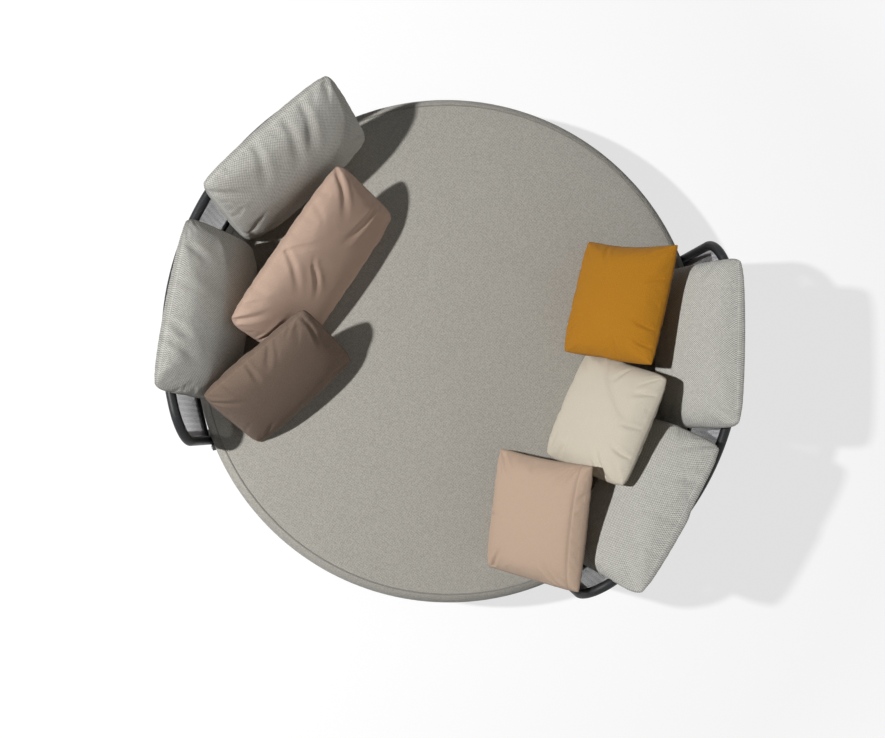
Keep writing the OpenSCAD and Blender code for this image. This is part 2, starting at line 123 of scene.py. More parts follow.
def mesh_piece(
    name: str,
    points: FloatArray,
    faces: list[IntArray],
    uv: list[FloatArray] | None = None,
    seam: FloatArray | None = None,
) -> bpy.types.Object:
    """Puts arrays of points and faces into a smooth-shaded mesh object at the origin.

    Args:
        name: Name of the new piece.
        points: Positions, one row a point.
        faces: Arrays of corner numbers, each with one row a face.
        uv: For each array of faces, the map's place of every corner, as rows of two.
        seam: Distance of every point from the nearest sewn edge, kept as an attribute.

    Returns:
        The new object, linked to the scene.
    """
    mesh = bpy.data.meshes.new(name)
    totals = np.concatenate([np.full(len(f), f.shape[1]) for f in faces])
    starts = np.concatenate([[0], np.cumsum(totals)[:-1]])
    loops = np.concatenate([f.ravel() for f in faces])
    mesh.vertices.add(len(points))
    mesh.vertices.foreach_set("co", np.ascontiguousarray(points, np.float32).ravel())
    mesh.loops.add(len(loops))
    mesh.loops.foreach_set("vertex_index", loops.astype(np.int32))
    mesh.polygons.add(len(totals))
    mesh.polygons.foreach_set("loop_start", starts.astype(np.int32))
    mesh.polygons.foreach_set("use_smooth", np.ones(len(totals), bool))
    mesh.update(calc_edges=True)
    if uv is not None:
        places = np.concatenate([u.reshape(-1, 2) for u in uv]).astype(np.float32)
        mesh.uv_layers.new(name=WEAVE_MAP).data.foreach_set("uv", places.ravel())
    if seam is not None:
        distance = mesh.attributes.new(SEAM_DISTANCE, "FLOAT", "POINT")
        distance.data.foreach_set("value", seam.astype(np.float32))
    mesh.validate()
    piece = bpy.data.objects.new(name, mesh)
    show(piece)
    return piece


def corner_uv(quads: IntArray, u: FloatArray, v: FloatArray) -> FloatArray:
    """Gives the map's place of every corner of the faces from the places of their points.

    Args:
        quads: Corner numbers, one row a face.
        u: First coordinate of every point.
        v: Second coordinate of every point.

    Returns:
        Rows of two, one a corner.
    """
    return np.stack([u[quads], v[quads]], axis=-1).reshape(-1, 2)


def subdivide(piece: bpy.types.Object, levels: int) -> None:
    """Adds a subdivision surface with the same levels in the view and in renders.

    Args:
        piece: Object that gets the modifier.
        levels: Subdivision levels.
    """
    modifier = piece.modifiers.new("Rounding", "SUBSURF")
    modifier.levels = modifier.render_levels = levels


def swept_tube(
    name: str,
    path: FloatArray,
    normal: FloatArray,
    radius: FloatArray,
    sides: int,
    closed: bool = False,
) -> bpy.types.Object:
    """Carries a circle along a path: each point is the path's point plus the radius times the
    cosine of the angle along the normal and its sine along the binormal, tangent times normal.

    Args:
        name: Name of the new piece.
        path: Points of the centre line.
        normal: Unit vector at each point, at right angles to the path.
        radius: Radius at each point.
        sides: Points round the circle.
        closed: Whether the path's end joins its start.

    Returns:
        The tube. An open one is closed with a flat cap at each end.
    """
    if closed:
        tangent = np.roll(path, -1, axis=0) - np.roll(path, 1, axis=0)
        step = np.linalg.norm(np.roll(path, -1, axis=0) - path, axis=1)
    else:
        tangent = np.gradient(path, axis=0)
        step = np.linalg.norm(np.diff(path, axis=0), axis=1)
    tangent /= np.linalg.norm(tangent, axis=1, keepdims=True)
    binormal = np.cross(tangent, normal)
    angle = np.linspace(0, 2 * math.pi, sides, endpoint=False)
    cosine, sine = np.cos(angle)[None, :, None], np.sin(angle)[None, :, None]
    ring = cosine * normal[:, None, :] + sine * binormal[:, None, :]
    points = (path[:, None, :] + radius[:, None, None] * ring).reshape(-1, 3)
    rows, mean_r = len(path), radius.mean()
    sector = 2 * math.pi / sides * mean_r
    quads = grid_quads(rows, sides, wrap=True)
    along = np.concatenate([[0.0], np.cumsum(step)])
    row, column = quads // sides, quads % sides
    turn = np.where(column[:, [1, 2]] == 0, sides, column[:, [1, 2]])
    across = np.stack([column[:, 0], turn[:, 0], turn[:, 1], column[:, 3]], axis=1) * sector
    uv = [np.stack([across, along[row]], axis=-1).reshape(-1, 2)]
    faces = [quads]
    if closed:
        first = np.arange(sides)
        last = first + (rows - 1) * sides
        faces.append(np.stack([last, np.roll(last, -1), np.roll(first, -1), first], axis=1))
        left, right = first * sector, (first + 1) * sector
        near, far = np.full(sides, along[rows - 1]), np.full(sides, along[rows])
        places = ((left, near), (right, near), (right, far), (left, far))
        uv.append(np.stack([np.stack(place, axis=1) for place in places], axis=1).reshape(-1, 2))
    else:
        for ring_start, order in ((0, 1), ((rows - 1) * sides, -1)):
            cap = (ring_start + np.arange(sides))[::order][None, :]
            faces.append(cap)
            uv.append(np.stack([np.cos(angle), np.sin(angle)], axis=1)[::order] * mean_r)
    return mesh_piece(name, points, faces, uv)


# Finishes


def linear(rgb: Rgb, strength: float = 1.0) -> tuple[float, float, float, float]:
    """Turns a display colour from 0 to 255 into a linear colour with full alpha.

    Args:
        rgb: Display colour.
        strength: Factor on the linear colour.

    Returns:
        Four linear numbers.
    """
    c = np.array(rgb) / 255.0
    lin = np.where(c <= 0.04045, c / 12.92, ((c + 0.055) / 1.055) ** 2.4) * strength
    return (float(lin[0]), float(lin[1]), float(lin[2]), 1.0)


class NodeDesk:
    """Places nodes in one tree and links them, with short forms for arithmetic and colour mixing.
    """

    def __init__(self, tree: bpy.types.NodeTree) -> None:
        """Keeps the tree that the nodes go into."""
        self.tree = tree

    def add(self, kind: str, **settings: object) -> bpy.types.Node:
        """Places one node.

        Args:
            kind: Type name of the node.
            settings: Properties to set on it.

        Returns:
            The new node.
        """
        node = self.tree.nodes.new(kind)
        for key, value in settings.items():
            setattr(node, key, value)
        node.location = (170 * (len(self.tree.nodes) % 12), -190 * (len(self.tree.nodes) // 12))
        return node

    def feed(self, socket: bpy.types.NodeSocket, value: object) -> None:
        """Links a socket to another socket, or sets its value.

        Args:
            socket: Input to fill.
            value: Output socket, number or tuple.
        """
        if isinstance(value, bpy.types.NodeSocket):
            self.tree.links.new(value, socket)
        else:
            socket.default_value = value

    def maths(self, operation: str, *values: object, clamp: bool = False) -> bpy.types.NodeSocket:
        """Places a Math node.

        Args:
            operation: Blender's name of the operation.
            values: Numbers or sockets, in order.
            clamp: Whether the result stays from 0 to 1.

        Returns:
            The result's socket.
        """
        node = self.add("ShaderNodeMath", operation=operation, use_clamp=clamp)
        for socket, value in zip(node.inputs, values):
            self.feed(socket, value)
        return node.outputs[0]

    def times(self, first: object, second: object) -> bpy.types.NodeSocket:
        """Multiplies two values."""
        return self.maths("MULTIPLY", first, second)

    def half_sine(self, value: object) -> bpy.types.NodeSocket:
        """Gives the absolute sine of pi times a value: one hump for each whole number."""
        return self.maths("ABSOLUTE", self.maths("SINE", self.times(value, math.pi)))

    def mix(
        self, share: object, first: object, second: object, blend: str = "MIX"
    ) -> bpy.types.NodeSocket:
        """Mixes two colours.

        Args:
            share: Share of the second colour.
            first: First colour.
            second: Second colour.
            blend: Blender's name of the blend.

        Returns:
            The mixed colour's socket.
        """
        node = self.add("ShaderNodeMix", data_type="RGBA", blend_type=blend)
        self.feed(node.inputs["Factor"], share)
        self.feed(node.inputs[6], first)
        self.feed(node.inputs[7], second)
        return node.outputs[2]

    def between(self, share: object, first: object, second: object) -> bpy.types.NodeSocket:
        """Mixes two numbers.

        Args:
            share: Share of the second number.
            first: First number.
            second: Second number.

        Returns:
            The mixed number's socket.
        """
        node = self.add("ShaderNodeMix", data_type="FLOAT")
        self.feed(node.inputs["Factor"], share)
        self.feed(node.inputs[2], first)
        self.feed(node.inputs[3], second)
        return node.outputs[0]

    def grey(self, value: object) -> bpy.types.NodeSocket:
        """Makes a grey colour of a number.

        Args:
            value: Number or socket.

        Returns:
            The colour's socket.
        """
        node = self.add("ShaderNodeCombineColor")
        for socket in node.inputs:
            self.feed(socket, value)
        return node.outputs[0]

    def parts(self, vector: object) -> bpy.types.NodeOutputs:
        """Splits a vector into its three numbers.

        Args:
            vector: Vector socket.

        Returns:
            The three sockets, in order.
        """
        node = self.add("ShaderNodeSeparateXYZ")
        self.feed(node.inputs[0], vector)
        return node.outputs

    def span(
        self, value: object, low: float, high: float, to_low: float = 0.0, to_high: float = 1.0
    ) -> bpy.types.NodeSocket:
        """Maps one range of a value onto another, and clamps it there.

        Args:
            value: Socket to map.
            low: Start of its range.
            high: End of its range.
            to_low: Result at the start.
            to_high: Result at the end.

        Returns:
            The mapped value's socket.
        """
        node = self.add("ShaderNodeMapRange")
        for socket, number in zip(node.inputs, (value, low, high, to_low, to_high)):
            self.feed(socket, number)
        return node.outputs[0]

    def noise(
        self, vector: object, scale: object, detail: float = 3.0, roughness: float = 0.5
    ) -> bpy.types.NodeOutputs:
        """Places a noise texture.

        Args:
            vector: Coordinates in metres.
            scale: Cells a metre.
            detail: Octaves.
            roughness: Strength of the fine octaves.

        Returns:
            The noise value's socket and its colour's, in this order.
        """
        node = self.add("ShaderNodeTexNoise")
        for name, value in zip(
            ("Vector", "Scale", "Detail", "Roughness"), (vector, scale, detail, roughness)
        ):
            self.feed(node.inputs[name], value)
        return node.outputs

    def body(self) -> bpy.types.NodeSocket:
        """Gives the coordinates of the piece's own object."""
        return self.add("ShaderNodeTexCoord").outputs["Object"]

    def cloth_map(self) -> bpy.types.NodeSocket:
        """Gives the piece's own map, in metres along its threads."""
        return self.add("ShaderNodeUVMap", uv_map=WEAVE_MAP).outputs[0]

    def from_seam(self) -> bpy.types.NodeSocket:
        """Gives the distance from the nearest sewn edge."""
        return self.add("ShaderNodeAttribute", attribute_name=SEAM_DISTANCE).outputs["Fac"]

    def effect(self, group: bpy.types.NodeTree, **values: object) -> bpy.types.NodeOutputs:
        """Places a shared effect.

        Args:
            group: The effect.
            values: Its inputs by name.

        Returns:
            The effect's outputs, found by name.
        """
        node = self.add("ShaderNodeGroup", node_tree=group)
        for key, value in values.items():
            self.feed(node.inputs[key], value)
        return node.outputs

    def bump(
        self, shader: bpy.types.Node, height: object, distance: float, strength: float
    ) -> None:
        """Feeds a height into the shader's normal.

        Args:
            shader: Principled shader.
            height: Height socket, from 0 to 1.
            distance: Depth of the relief in metres.
            strength: Strength of the relief.
        """
        node = self.add("ShaderNodeBump")
        node.inputs["Distance"].default_value = distance
        node.inputs["Strength"].default_value = strength
        self.feed(node.inputs["Height"], height)
        self.feed(shader.inputs["Normal"], node.outputs[0])


def new_group(
    name: str, inputs: dict[str, object], outputs: tuple[str, ...]
) -> tuple[NodeDesk, dict, dict]:
    """Makes an empty node group. Its first input is a vector, a socket called Colour is a colour,
    and the others are numbers.

    Args:
        name: Name of the group.
        inputs: Default of each input after the vector, by its name.
        outputs: Name of each output.

    Returns:
        The desk of its tree, its inputs as sockets and its outputs as sockets, by name.
    """
    tree = bpy.data.node_groups.new(name, "ShaderNodeTree")
    kinds = {"Vector": "NodeSocketVector", "Colour": "NodeSocketColor"}
    for way, titles in (("INPUT", ("Vector", *inputs)), ("OUTPUT", outputs)):
        for title in titles:
            kind = kinds.get(title, "NodeSocketFloat")
            socket = tree.interface.new_socket(name=title, in_out=way, socket_type=kind)
            if way == "INPUT" and title in inputs:
                socket.default_value = inputs[title]
    desk = NodeDesk(tree)
    entry, result = desk.add("NodeGroupInput"), desk.add("NodeGroupOutput")
    take = {socket.name: socket for socket in entry.outputs if socket.name}
    return desk, take, {socket.name: socket for socket in result.inputs if socket.name}


class Effects:
    """The node groups that several finishes share, each built once."""

    def __init__(self) -> None:
        """Builds all groups."""
        self.weave = self._weave()
        self.mottle = self._mottle()
        self.stitches = self._stitches()
        self.casting = self._casting()
        self.grain = self._grain()

    @staticmethod
    def _weave() -> bpy.types.NodeTree:
        """Crossing threads: each crossing shows the warp or the weft, rounded by a half sine across
        the thread and dipping where it goes under, and has its own random tone. Cover is low in the
        openings.

        Returns:
            The group.
        """
        desk, take, give = new_group(
            "crossing_threads",
            {"Threads": 600.0, "Group": 1.0, "Drift": 0.3},
            ("Height", "Tone", "Over", "Cover"),
        )
        sway = desk.add("ShaderNodeSeparateColor")
        desk.feed(sway.inputs[0], desk.noise(take["Vector"], 9.0, 1.0)[1])
        part = desk.parts(take["Vector"])
        block, across, dip = [], [], []
        for axis in (0, 1):
            drift = desk.times(sway.outputs[axis], take["Drift"])
            thread = desk.maths("ADD", desk.times(part[axis], take["Threads"]), drift)
            group = desk.maths("DIVIDE", thread, take["Group"])
            block.append(desk.maths("FLOOR", group))
            across.append(desk.half_sine(thread))
            dip.append(desk.maths("MULTIPLY_ADD", desk.half_sine(group), 0.45, 0.55))
        over = desk.maths("FLOORED_MODULO", desk.maths("ADD", block[0], block[1]), 2.0)
        warp, weft = desk.times(across[0], dip[1]), desk.times(across[1], dip[0])
        desk.feed(give["Height"], desk.between(over, warp, weft))
        cell = desk.add("ShaderNodeCombineXYZ")
        for socket, value in zip(cell.inputs, (*block, over)):
            desk.feed(socket, value)
        dice = desk.add("ShaderNodeTexWhiteNoise", noise_dimensions="3D")
        desk.feed(dice.inputs["Vector"], cell.outputs[0])
        desk.feed(give["Tone"], dice.outputs["Value"])
        desk.feed(give["Over"], over)
        desk.feed(give["Cover"], desk.maths("MAXIMUM", across[0], across[1]))
        return desk.tree

    @staticmethod
    def _mottle() -> bpy.types.NodeTree:
        """Slow uneven tone of dyed cloth or coating: noises of a hand's and of a finger's width.

        Returns:
            The group.
        """
        desk, take, give = new_group(
            "slow_mottle", {"Colour": (0.5, 0.5, 0.5, 1.0), "Amount": 0.1}, ("Colour",)
        )
        wide = desk.times(desk.noise(take["Vector"], 4.0, 2.0)[0], 0.65)
        near = desk.times(desk.noise(take["Vector"], 26.0)[0], 0.35)
        mask = desk.maths("ADD", wide, near)
        factor = desk.maths("MULTIPLY_ADD", desk.maths("SUBTRACT", mask, 0.5), take["Amount"], 1.0)
        desk.feed(give["Colour"], desk.mix(1.0, take["Colour"], desk.grey(factor), "MULTIPLY"))
        return desk.tree

    @staticmethod
    def _stitches() -> bpy.types.NodeTree:
        """A row of stitches at a set distance from the seam: a narrow band cut into dashes along
        the map. Fold, a mask for painted shade in the seam, is highest in the seam itself.

        Returns:
            The group.
        """
        desk, take, give = new_group(
            "stitch_row",
            {"Distance": 0.1, "Place": 0.006, "Width": 0.0011, "Stitches": 300.0},
            ("Thread", "Fold"),
        )
        off = desk.maths("ABSOLUTE", desk.maths("SUBTRACT", take["Distance"], take["Place"]))
        share = desk.maths("DIVIDE", off, take["Width"])
        band = desk.maths("SUBTRACT", 1.0, share, clamp=True)
        part = desk.parts(take["Vector"])
        along = desk.times(desk.maths("ADD", part[0], part[1]), take["Stitches"])
        dash = desk.maths("GREATER_THAN", desk.maths("FRACT", along), 0.3)
        desk.feed(give["Thread"], desk.maths("MULTIPLY", band, dash, clamp=True))
        inwards = desk.maths("DIVIDE", take["Distance"], take["Place"])
        desk.feed(give["Fold"], desk.maths("SUBTRACT", 1.0, inwards, clamp=True))
        return desk.tree

    @staticmethod
    def _casting() -> bpy.types.NodeTree:
        """Fine grain of a coating or of moulded rubber: a dense noise over a slow wave, with dust.

        Returns:
            The group.
        """
        desk, take, give = new_group(
            "fine_skin", {"Grain": 900.0, "Dust": 0.15}, ("Height", "Dust", "Wear")
        )
        fine = desk.noise(take["Vector"], take["Grain"], 2.0)[0]
        slow = desk.noise(take["Vector"], 14.0)[0]
        desk.feed(give["Height"], desk.maths("MULTIPLY_ADD", slow, 0.4, fine))
        specks = desk.span(desk.noise(take["Vector"], 120.0, 5.0, 0.7)[0], 0.52, 0.75)
        desk.feed(give["Dust"], desk.times(specks, take["Dust"]))
        desk.feed(give["Wear"], desk.span(slow, 0.35, 0.7))
        return desk.tree

    @staticmethod
    def _grain() -> bpy.types.NodeTree:
        """Wood grain along the first coordinate: rings of a distorted wave and short pores.

        Returns:
            The group.
        """
        desk, take, give = new_group("long_grain", {"Rings": 34.0}, ("Rings", "Pores"))
        stretch = desk.add("ShaderNodeMapping")
        desk.feed(stretch.inputs["Vector"], take["Vector"])
        stretch.inputs["Scale"].default_value = (0.06, 1.0, 1.0)
        wave = desk.add("ShaderNodeTexWave", wave_type="BANDS", bands_direction="Y")
        desk.feed(wave.inputs["Vector"], stretch.outputs[0])
        desk.feed(wave.inputs["Scale"], take["Rings"])
        wave.inputs["Distortion"].default_value = 7.0
        wave.inputs["Detail"].default_value = 3.0
        wave.inputs["Detail Scale"].default_value = 0.8
        desk.feed(give["Rings"], wave.outputs["Fac"])
        pores = desk.noise(stretch.outputs[0], 620.0, 2.0)[0]
        desk.feed(give["Pores"], desk.span(pores, 0.55, 0.72))
        return desk.tree


@dataclass(frozen=True)
class Finish:
    """A finish of the daybed.

    Attributes:
        slot: Material slot of the record.
    """

    slot: str

    def build(self, effects: Effects) -> bpy.types.Material:
        """Builds the material.

        Args:
            effects: The shared node groups.

        Returns:
            The finished material.
        """
        material = bpy.data.materials.new(self.slot)
        material.use_nodes = True
        tree = material.node_tree
        self.paint(NodeDesk(tree), tree.nodes["Principled BSDF"], effects)
        return material

    def paint(self, desk: NodeDesk, shader: bpy.types.Node, effects: Effects) -> None:
        """Feeds colour, roughness and relief into the shader. Each kind of finish has its own way.

        Args:
            desk: Desk of the material.
            shader: Its Principled shader.
            effects: The shared node groups.
        """
        raise NotImplementedError


@dataclass(frozen=True)
class WovenCloth(Finish):
    """A woven cover whose threads follow the piece's own map, with a stitch row along its seams.

    Attributes:
        light: Display colour of the lighter threads.
        dark: Display colour of the darker threads.
        threads: Threads a metre.
        group: Threads that go over and under together.
        relief: Depth of the weave in metres.
        roughness: Roughness of the cloth.
        sheen: Weight of the soft sheen.
        mottle: Slow variation of the tone.
        scatter: How much of a crossing's tone is random and not that of its warp or weft.
        fleck: Strength of the fine melange of the yarn.
    """

    light: Rgb
    dark: Rgb
    threads: float
    group: float
    relief: float
    roughness: float = 0.86
    sheen: float = 0.15
    mottle: float = 0.12
    scatter: float = 0.45
    fleck: float = 0.06

    def paint(self, desk: NodeDesk, shader: bpy.types.Node, effects: Effects) -> None:
        """Mixes the threads' two colours, flecks and mottles them, paints shade into gaps and seam.

        Args:
            desk: Desk of the material.
            shader: Its Principled shader.
            effects: The shared node groups.
        """
        place = desk.cloth_map()
        weave = desk.effect(
            effects.weave, Vector=place, Threads=self.threads, Group=self.group, Drift=0.9
        )
        tone = desk.between(self.scatter, weave["Over"], weave["Tone"])
        colour = desk.mix(tone, linear(self.dark), linear(self.light))
        melange = desk.maths("SUBTRACT", desk.noise(place, 240.0, 3.0, 0.6)[0], 0.5)
        fleck = desk.maths("MULTIPLY_ADD", melange, 4 * self.fleck, 1.0)
        colour = desk.mix(1.0, colour, desk.grey(fleck), "MULTIPLY")
        mottle = desk.effect(effects.mottle, Vector=desk.body(), Colour=colour, Amount=self.mottle)
        # Painted shade: where the weave is low, between the threads, the colour darkens towards a
        # dimmed copy of the dark thread.
        gap = desk.span(weave["Height"], 0.0, 0.5, 0.30, 0.0)
        colour = desk.mix(gap, mottle["Colour"], linear(self.dark, 0.45))
        row = desk.effect(effects.stitches, Vector=place, Distance=desk.from_seam())
        # Painted shade in the seam and along a sewn band line: the colour darkens towards a dimmed
        # copy of the dark thread, most in the seam itself.
        colour = desk.mix(desk.times(row["Fold"], 0.42), colour, linear(self.dark, 0.35))
        colour = desk.mix(row["Thread"], colour, linear(self.light, 0.9))
        desk.feed(shader.inputs["Base Color"], colour)
        low, high = self.roughness - 0.04, min(self.roughness + 0.05, 1.0)
        desk.feed(shader.inputs["Roughness"], desk.span(weave["Tone"], 0.0, 1.0, low, high))
        shader.inputs["Sheen Weight"].default_value = self.sheen
        shader.inputs["Sheen Roughness"].default_value = 0.55
        shader.inputs["Specular IOR Level"].default_value = 0.25
        height = desk.maths("ADD", weave["Height"], row["Thread"])
        desk.bump(shader, height, self.relief, 0.8)


@dataclass(frozen=True)
class StretchedMesh(Finish):
    """Coated yarn mesh with open crossings, darker weft stripes and a doubled hem.

    Attributes:
        yarn: Display colour of the yarn.
        stripe: Display colour of every other yarn group.
        threads: Yarns a metre.
    """

    yarn: Rgb
    stripe: Rgb
    threads: float

    HEM = 0.022
    STITCH_ROWS = (0.013, 0.019)
    YARNS_A_STRIPE = 6

    def paint(self, desk: NodeDesk, shader: bpy.types.Node, effects: Effects) -> None:
        """Stripes the yarn, sews the hem, and opens the crossings outside it through Alpha.

        Args:
            desk: Desk of the material.
            shader: Its Principled shader.
            effects: The shared node groups.
        """
        place = desk.cloth_map()
        weave = desk.effect(
            effects.weave, Vector=place, Threads=self.threads, Group=1.0, Drift=0.1
        )
        pitch = desk.times(desk.parts(place)[0], self.threads / self.YARNS_A_STRIPE)
        band = desk.maths("GREATER_THAN", desk.maths("FRACT", pitch), 0.5)
        colour = desk.mix(desk.times(band, 0.5), linear(self.yarn), linear(self.stripe))
        mottle = desk.effect(effects.mottle, Vector=place, Colour=colour, Amount=0.2)
        reach = desk.from_seam()
        sewn = {"Vector": place, "Distance": reach, "Width": 0.0016, "Stitches": 190.0}
        rows = (desk.effect(effects.stitches, Place=at, **sewn) for at in self.STITCH_ROWS)
        thread = desk.maths("MAXIMUM", *(row["Thread"] for row in rows))
        hem = desk.maths("LESS_THAN", reach, self.HEM)
        colour = desk.mix(desk.times(hem, 0.35), mottle["Colour"], linear(self.stripe, 0.7))
        colour = desk.mix(thread, colour, linear(self.yarn, 1.2))
        desk.feed(shader.inputs["Base Color"], colour)
        yarn, sewn_hem = desk.span(weave["Cover"], 0.76, 0.86), desk.maths("MAXIMUM", hem, thread)
        desk.feed(shader.inputs["Alpha"], desk.maths("MAXIMUM", yarn, sewn_hem, clamp=True))
        desk.feed(shader.inputs["Roughness"], desk.span(weave["Tone"], 0.0, 1.0, 0.42, 0.55))
        shader.inputs["Specular IOR Level"].default_value = 0.5
        desk.bump(shader, desk.maths("ADD", weave["Height"], thread), 0.0006, 0.9)


@dataclass(frozen=True)
class CoatedMetal(Finish):
    """Powder coating: satin, with a fine grain, faint handling marks and dust.

    Attributes:
        colour: Display colour.
        worn: Display colour where hands have polished it.
        roughness: Roughness of the untouched coat.
        dust: Display colour of the dust.
    """

    colour: Rgb
    worn: Rgb
    roughness: float
    dust: Rgb = (150, 146, 140)

    def paint(self, desk: NodeDesk, shader: bpy.types.Node, effects: Effects) -> None:
        """Mixes the coat with its worn tone and with dust, which is also rougher.

        Args:
            desk: Desk of the material.
            shader: Its Principled shader.
            effects: The shared node groups.
        """
        skin = desk.effect(effects.casting, Vector=desk.body(), Grain=1500.0, Dust=0.10)
        colour = desk.mix(desk.times(skin["Wear"], 0.5), linear(self.colour), linear(self.worn))
        colour = desk.mix(skin["Dust"], colour, linear(self.dust))
        desk.feed(shader.inputs["Base Color"], colour)
        coat = desk.span(skin["Wear"], 0.0, 1.0, self.roughness, self.roughness - 0.07)
        rough = desk.maths("ADD", coat, desk.times(skin["Dust"], 1.2))
        desk.feed(shader.inputs["Roughness"], rough)
        shader.inputs["Specular IOR Level"].default_value = 0.28
        desk.bump(shader, skin["Height"], 0.00012, 0.6)


@dataclass(frozen=True)
class PlatedSteel(Finish):
    """Zinc-plated fastener steel with a brushed, slightly clouded face.

    Attributes:
        colour: Display colour of the bright plating.
        cloud: Display colour of the clouded plating.
    """

    colour: Rgb
    cloud: Rgb

    def paint(self, desk: NodeDesk, shader: bpy.types.Node, effects: Effects) -> None:
        """Clouds the plating, which is metal where no dust lies.

        Args:
            desk: Desk of the material.
            shader: Its Principled shader.
            effects: The shared node groups.
        """
        skin = desk.effect(effects.casting, Vector=desk.body(), Grain=2200.0, Dust=0.05)
        colour = desk.mix(skin["Wear"], linear(self.colour), linear(self.cloud))
        desk.feed(shader.inputs["Base Color"], colour)
        desk.feed(shader.inputs["Metallic"], desk.maths("SUBTRACT", 1.0, skin["Dust"]))
        desk.feed(shader.inputs["Roughness"], desk.span(skin["Wear"], 0.0, 1.0, 0.28, 0.46))
        desk.bump(shader, skin["Height"], 0.00008, 0.5)


@dataclass(frozen=True)
class SlatWood(Finish):
    """Grey-stained plywood slat, its grain along X.

    Attributes:
        early: Display colour of the soft rings.
        late: Display colour of the hard rings.
    """

    early: Rgb
    late: Rgb

    def paint(self, desk: NodeDesk, shader: bpy.types.Node, effects: Effects) -> None:
        """Mixes soft and hard rings, mottles them and darkens the pores.

        Args:
            desk: Desk of the material.
            shader: Its Principled shader.
            effects: The shared node groups.
        """
        place = desk.body()
        grain = desk.effect(effects.grain, Vector=place, Rings=30.0)
        colour = desk.mix(grain["Rings"], linear(self.early), linear(self.late))
        mottle = desk.effect(effects.mottle, Vector=place, Colour=colour, Amount=0.3)
        pores = desk.times(grain["Pores"], 0.4)
        colour = desk.mix(pores, mottle["Colour"], linear(self.late, 0.5))
        desk.feed(shader.inputs["Base Color"], colour)
        desk.feed(shader.inputs["Roughness"], desk.span(grain["Rings"], 0.0, 1.0, 0.62, 0.5))
        relief = desk.maths("SUBTRACT", grain["Rings"], grain["Pores"])
        desk.bump(shader, relief, 0.0004, 0.6)


@dataclass(frozen=True)
class MouldedRubber(Finish):
    """Black moulded plastic or rubber with a fine skin.

    Attributes:
        colour: Display colour.
        scuffed: Display colour of scuffs.
    """

    colour: Rgb
    scuffed: Rgb

    def paint(self, desk: NodeDesk, shader: bpy.types.Node, effects: Effects) -> None:
        """Mixes the rubber with its scuffs.

        Args:
            desk: Desk of the material.
            shader: Its Principled shader.
            effects: The shared node groups.
        """
        skin = desk.effect(effects.casting, Vector=desk.body(), Grain=1100.0, Dust=0.25)
        colour = desk.mix(skin["Dust"], linear(self.colour), linear(self.scuffed))
        desk.feed(shader.inputs["Base Color"], colour)
        desk.feed(shader.inputs["Roughness"], desk.span(skin["Wear"], 0.0, 1.0, 0.6, 0.75))
        desk.bump(shader, skin["Height"], 0.0002, 0.7)


GREY_WEAVE = {"threads": 444.0, "group": 2.0}
COARSE_WEAVE = {"threads": 600.0, "group": 1.0, "mottle": 0.16}
FINE_WEAVE = {"threads": 700.0, "group": 1.0, "relief": 0.0005, "roughness": 0.8}

FINISHES: tuple[Finish, ...] = (
    CoatedMetal("coated_steel", (27, 28, 30), (36, 37, 39), 0.50),
    SlatWood("slat_wood", (172, 166, 157), (128, 121, 112)),
    MouldedRubber("rubber", (26, 26, 27), (92, 90, 87)),
    PlatedSteel("zinc_steel", (196, 197, 200), (158, 159, 162)),
    StretchedMesh("back_mesh", (188, 186, 191), (130, 128, 132), 250.0),
    WovenCloth(
        "mattress_cover", (192, 188, 179), (150, 147, 139), **GREY_WEAVE,
        relief=0.0008, mottle=0.07, scatter=0.5, fleck=0.16,
    ),
    WovenCloth(
        "back_cushion_cover", (222, 220, 212), (150, 149, 143), **GREY_WEAVE,
        relief=0.0010, mottle=0.06, scatter=0.25, fleck=0.08,
    ),
    WovenCloth(
        "peach_cover", (200, 172, 154), (184, 157, 139), **FINE_WEAVE,
        sheen=0.08, mottle=0.10, fleck=0.10,
    ),
    WovenCloth(
        "brown_cover", (140, 120, 106), (112, 95, 82), **COARSE_WEAVE,
        relief=0.0008, sheen=0.05, fleck=0.18,
    ),
    WovenCloth(
        "ochre_cover", (186, 129, 26), (168, 110, 16), **COARSE_WEAVE,
        relief=0.0006, roughness=0.78, sheen=0.03, fleck=0.16,
    ),
    WovenCloth(
        "cream_cover", (216, 207, 190), (202, 193, 176), **FINE_WEAVE,
        sheen=0.05, mottle=0.07, fleck=0.09,
    ),
    WovenCloth(
        "beige_cover", (198, 173, 152), (183, 158, 138), **FINE_WEAVE,
        sheen=0.06, mottle=0.07, fleck=0.07,
    ),
)


class Finishes:
    """All finishes of the daybed, built once and found by the record's slot name."""

    def __init__(self) -> None:
        """Builds every finish."""
        effects = Effects()
        self._materials = {finish.slot: finish.build(effects) for finish in FINISHES}

    def dress(self, piece: bpy.types.Object, slot: str) -> None:
        """Gives a new piece its finish.

        Args:
            piece: Piece to dress.
            slot: Slot of the record.
        """
        piece.data.materials.clear()
        piece.data.materials.append(self._materials[slot])

    def dress_solid(self, solid: bpy.types.Object, slot: str) -> None:
        """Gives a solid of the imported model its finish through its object's material slots.

        Args:
            solid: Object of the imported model.
            slot: Slot of the record.
        """
        if not solid.material_slots:
            solid.data.materials.append(self._materials[slot])
        for entry in solid.material_slots:
            entry.link = "OBJECT"
            entry.material = self._materials[slot]


# Backrests


class Side(Enum):
    """The two ends of the daybed, with the angle by which each half is turned about Z."""

    EAST = 0.0
    WEST = 180.0

    @property
    def label(self) -> str:
        """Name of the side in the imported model's nodes."""
        return self.name.lower()

    def turned(self, points: FloatArray) -> FloatArray:
        """Turns points of the east half to this side.

        Args:
            points: Rows of three.

        Returns:
            The turned points.
        """
        c, s = math.cos(math.radians(self.value)), math.sin(math.radians(self.value))
        turn = np.array([[c, -s, 0.0], [s, c, 0.0], [0.0, 0.0, 1.0]])
        return points @ turn.T


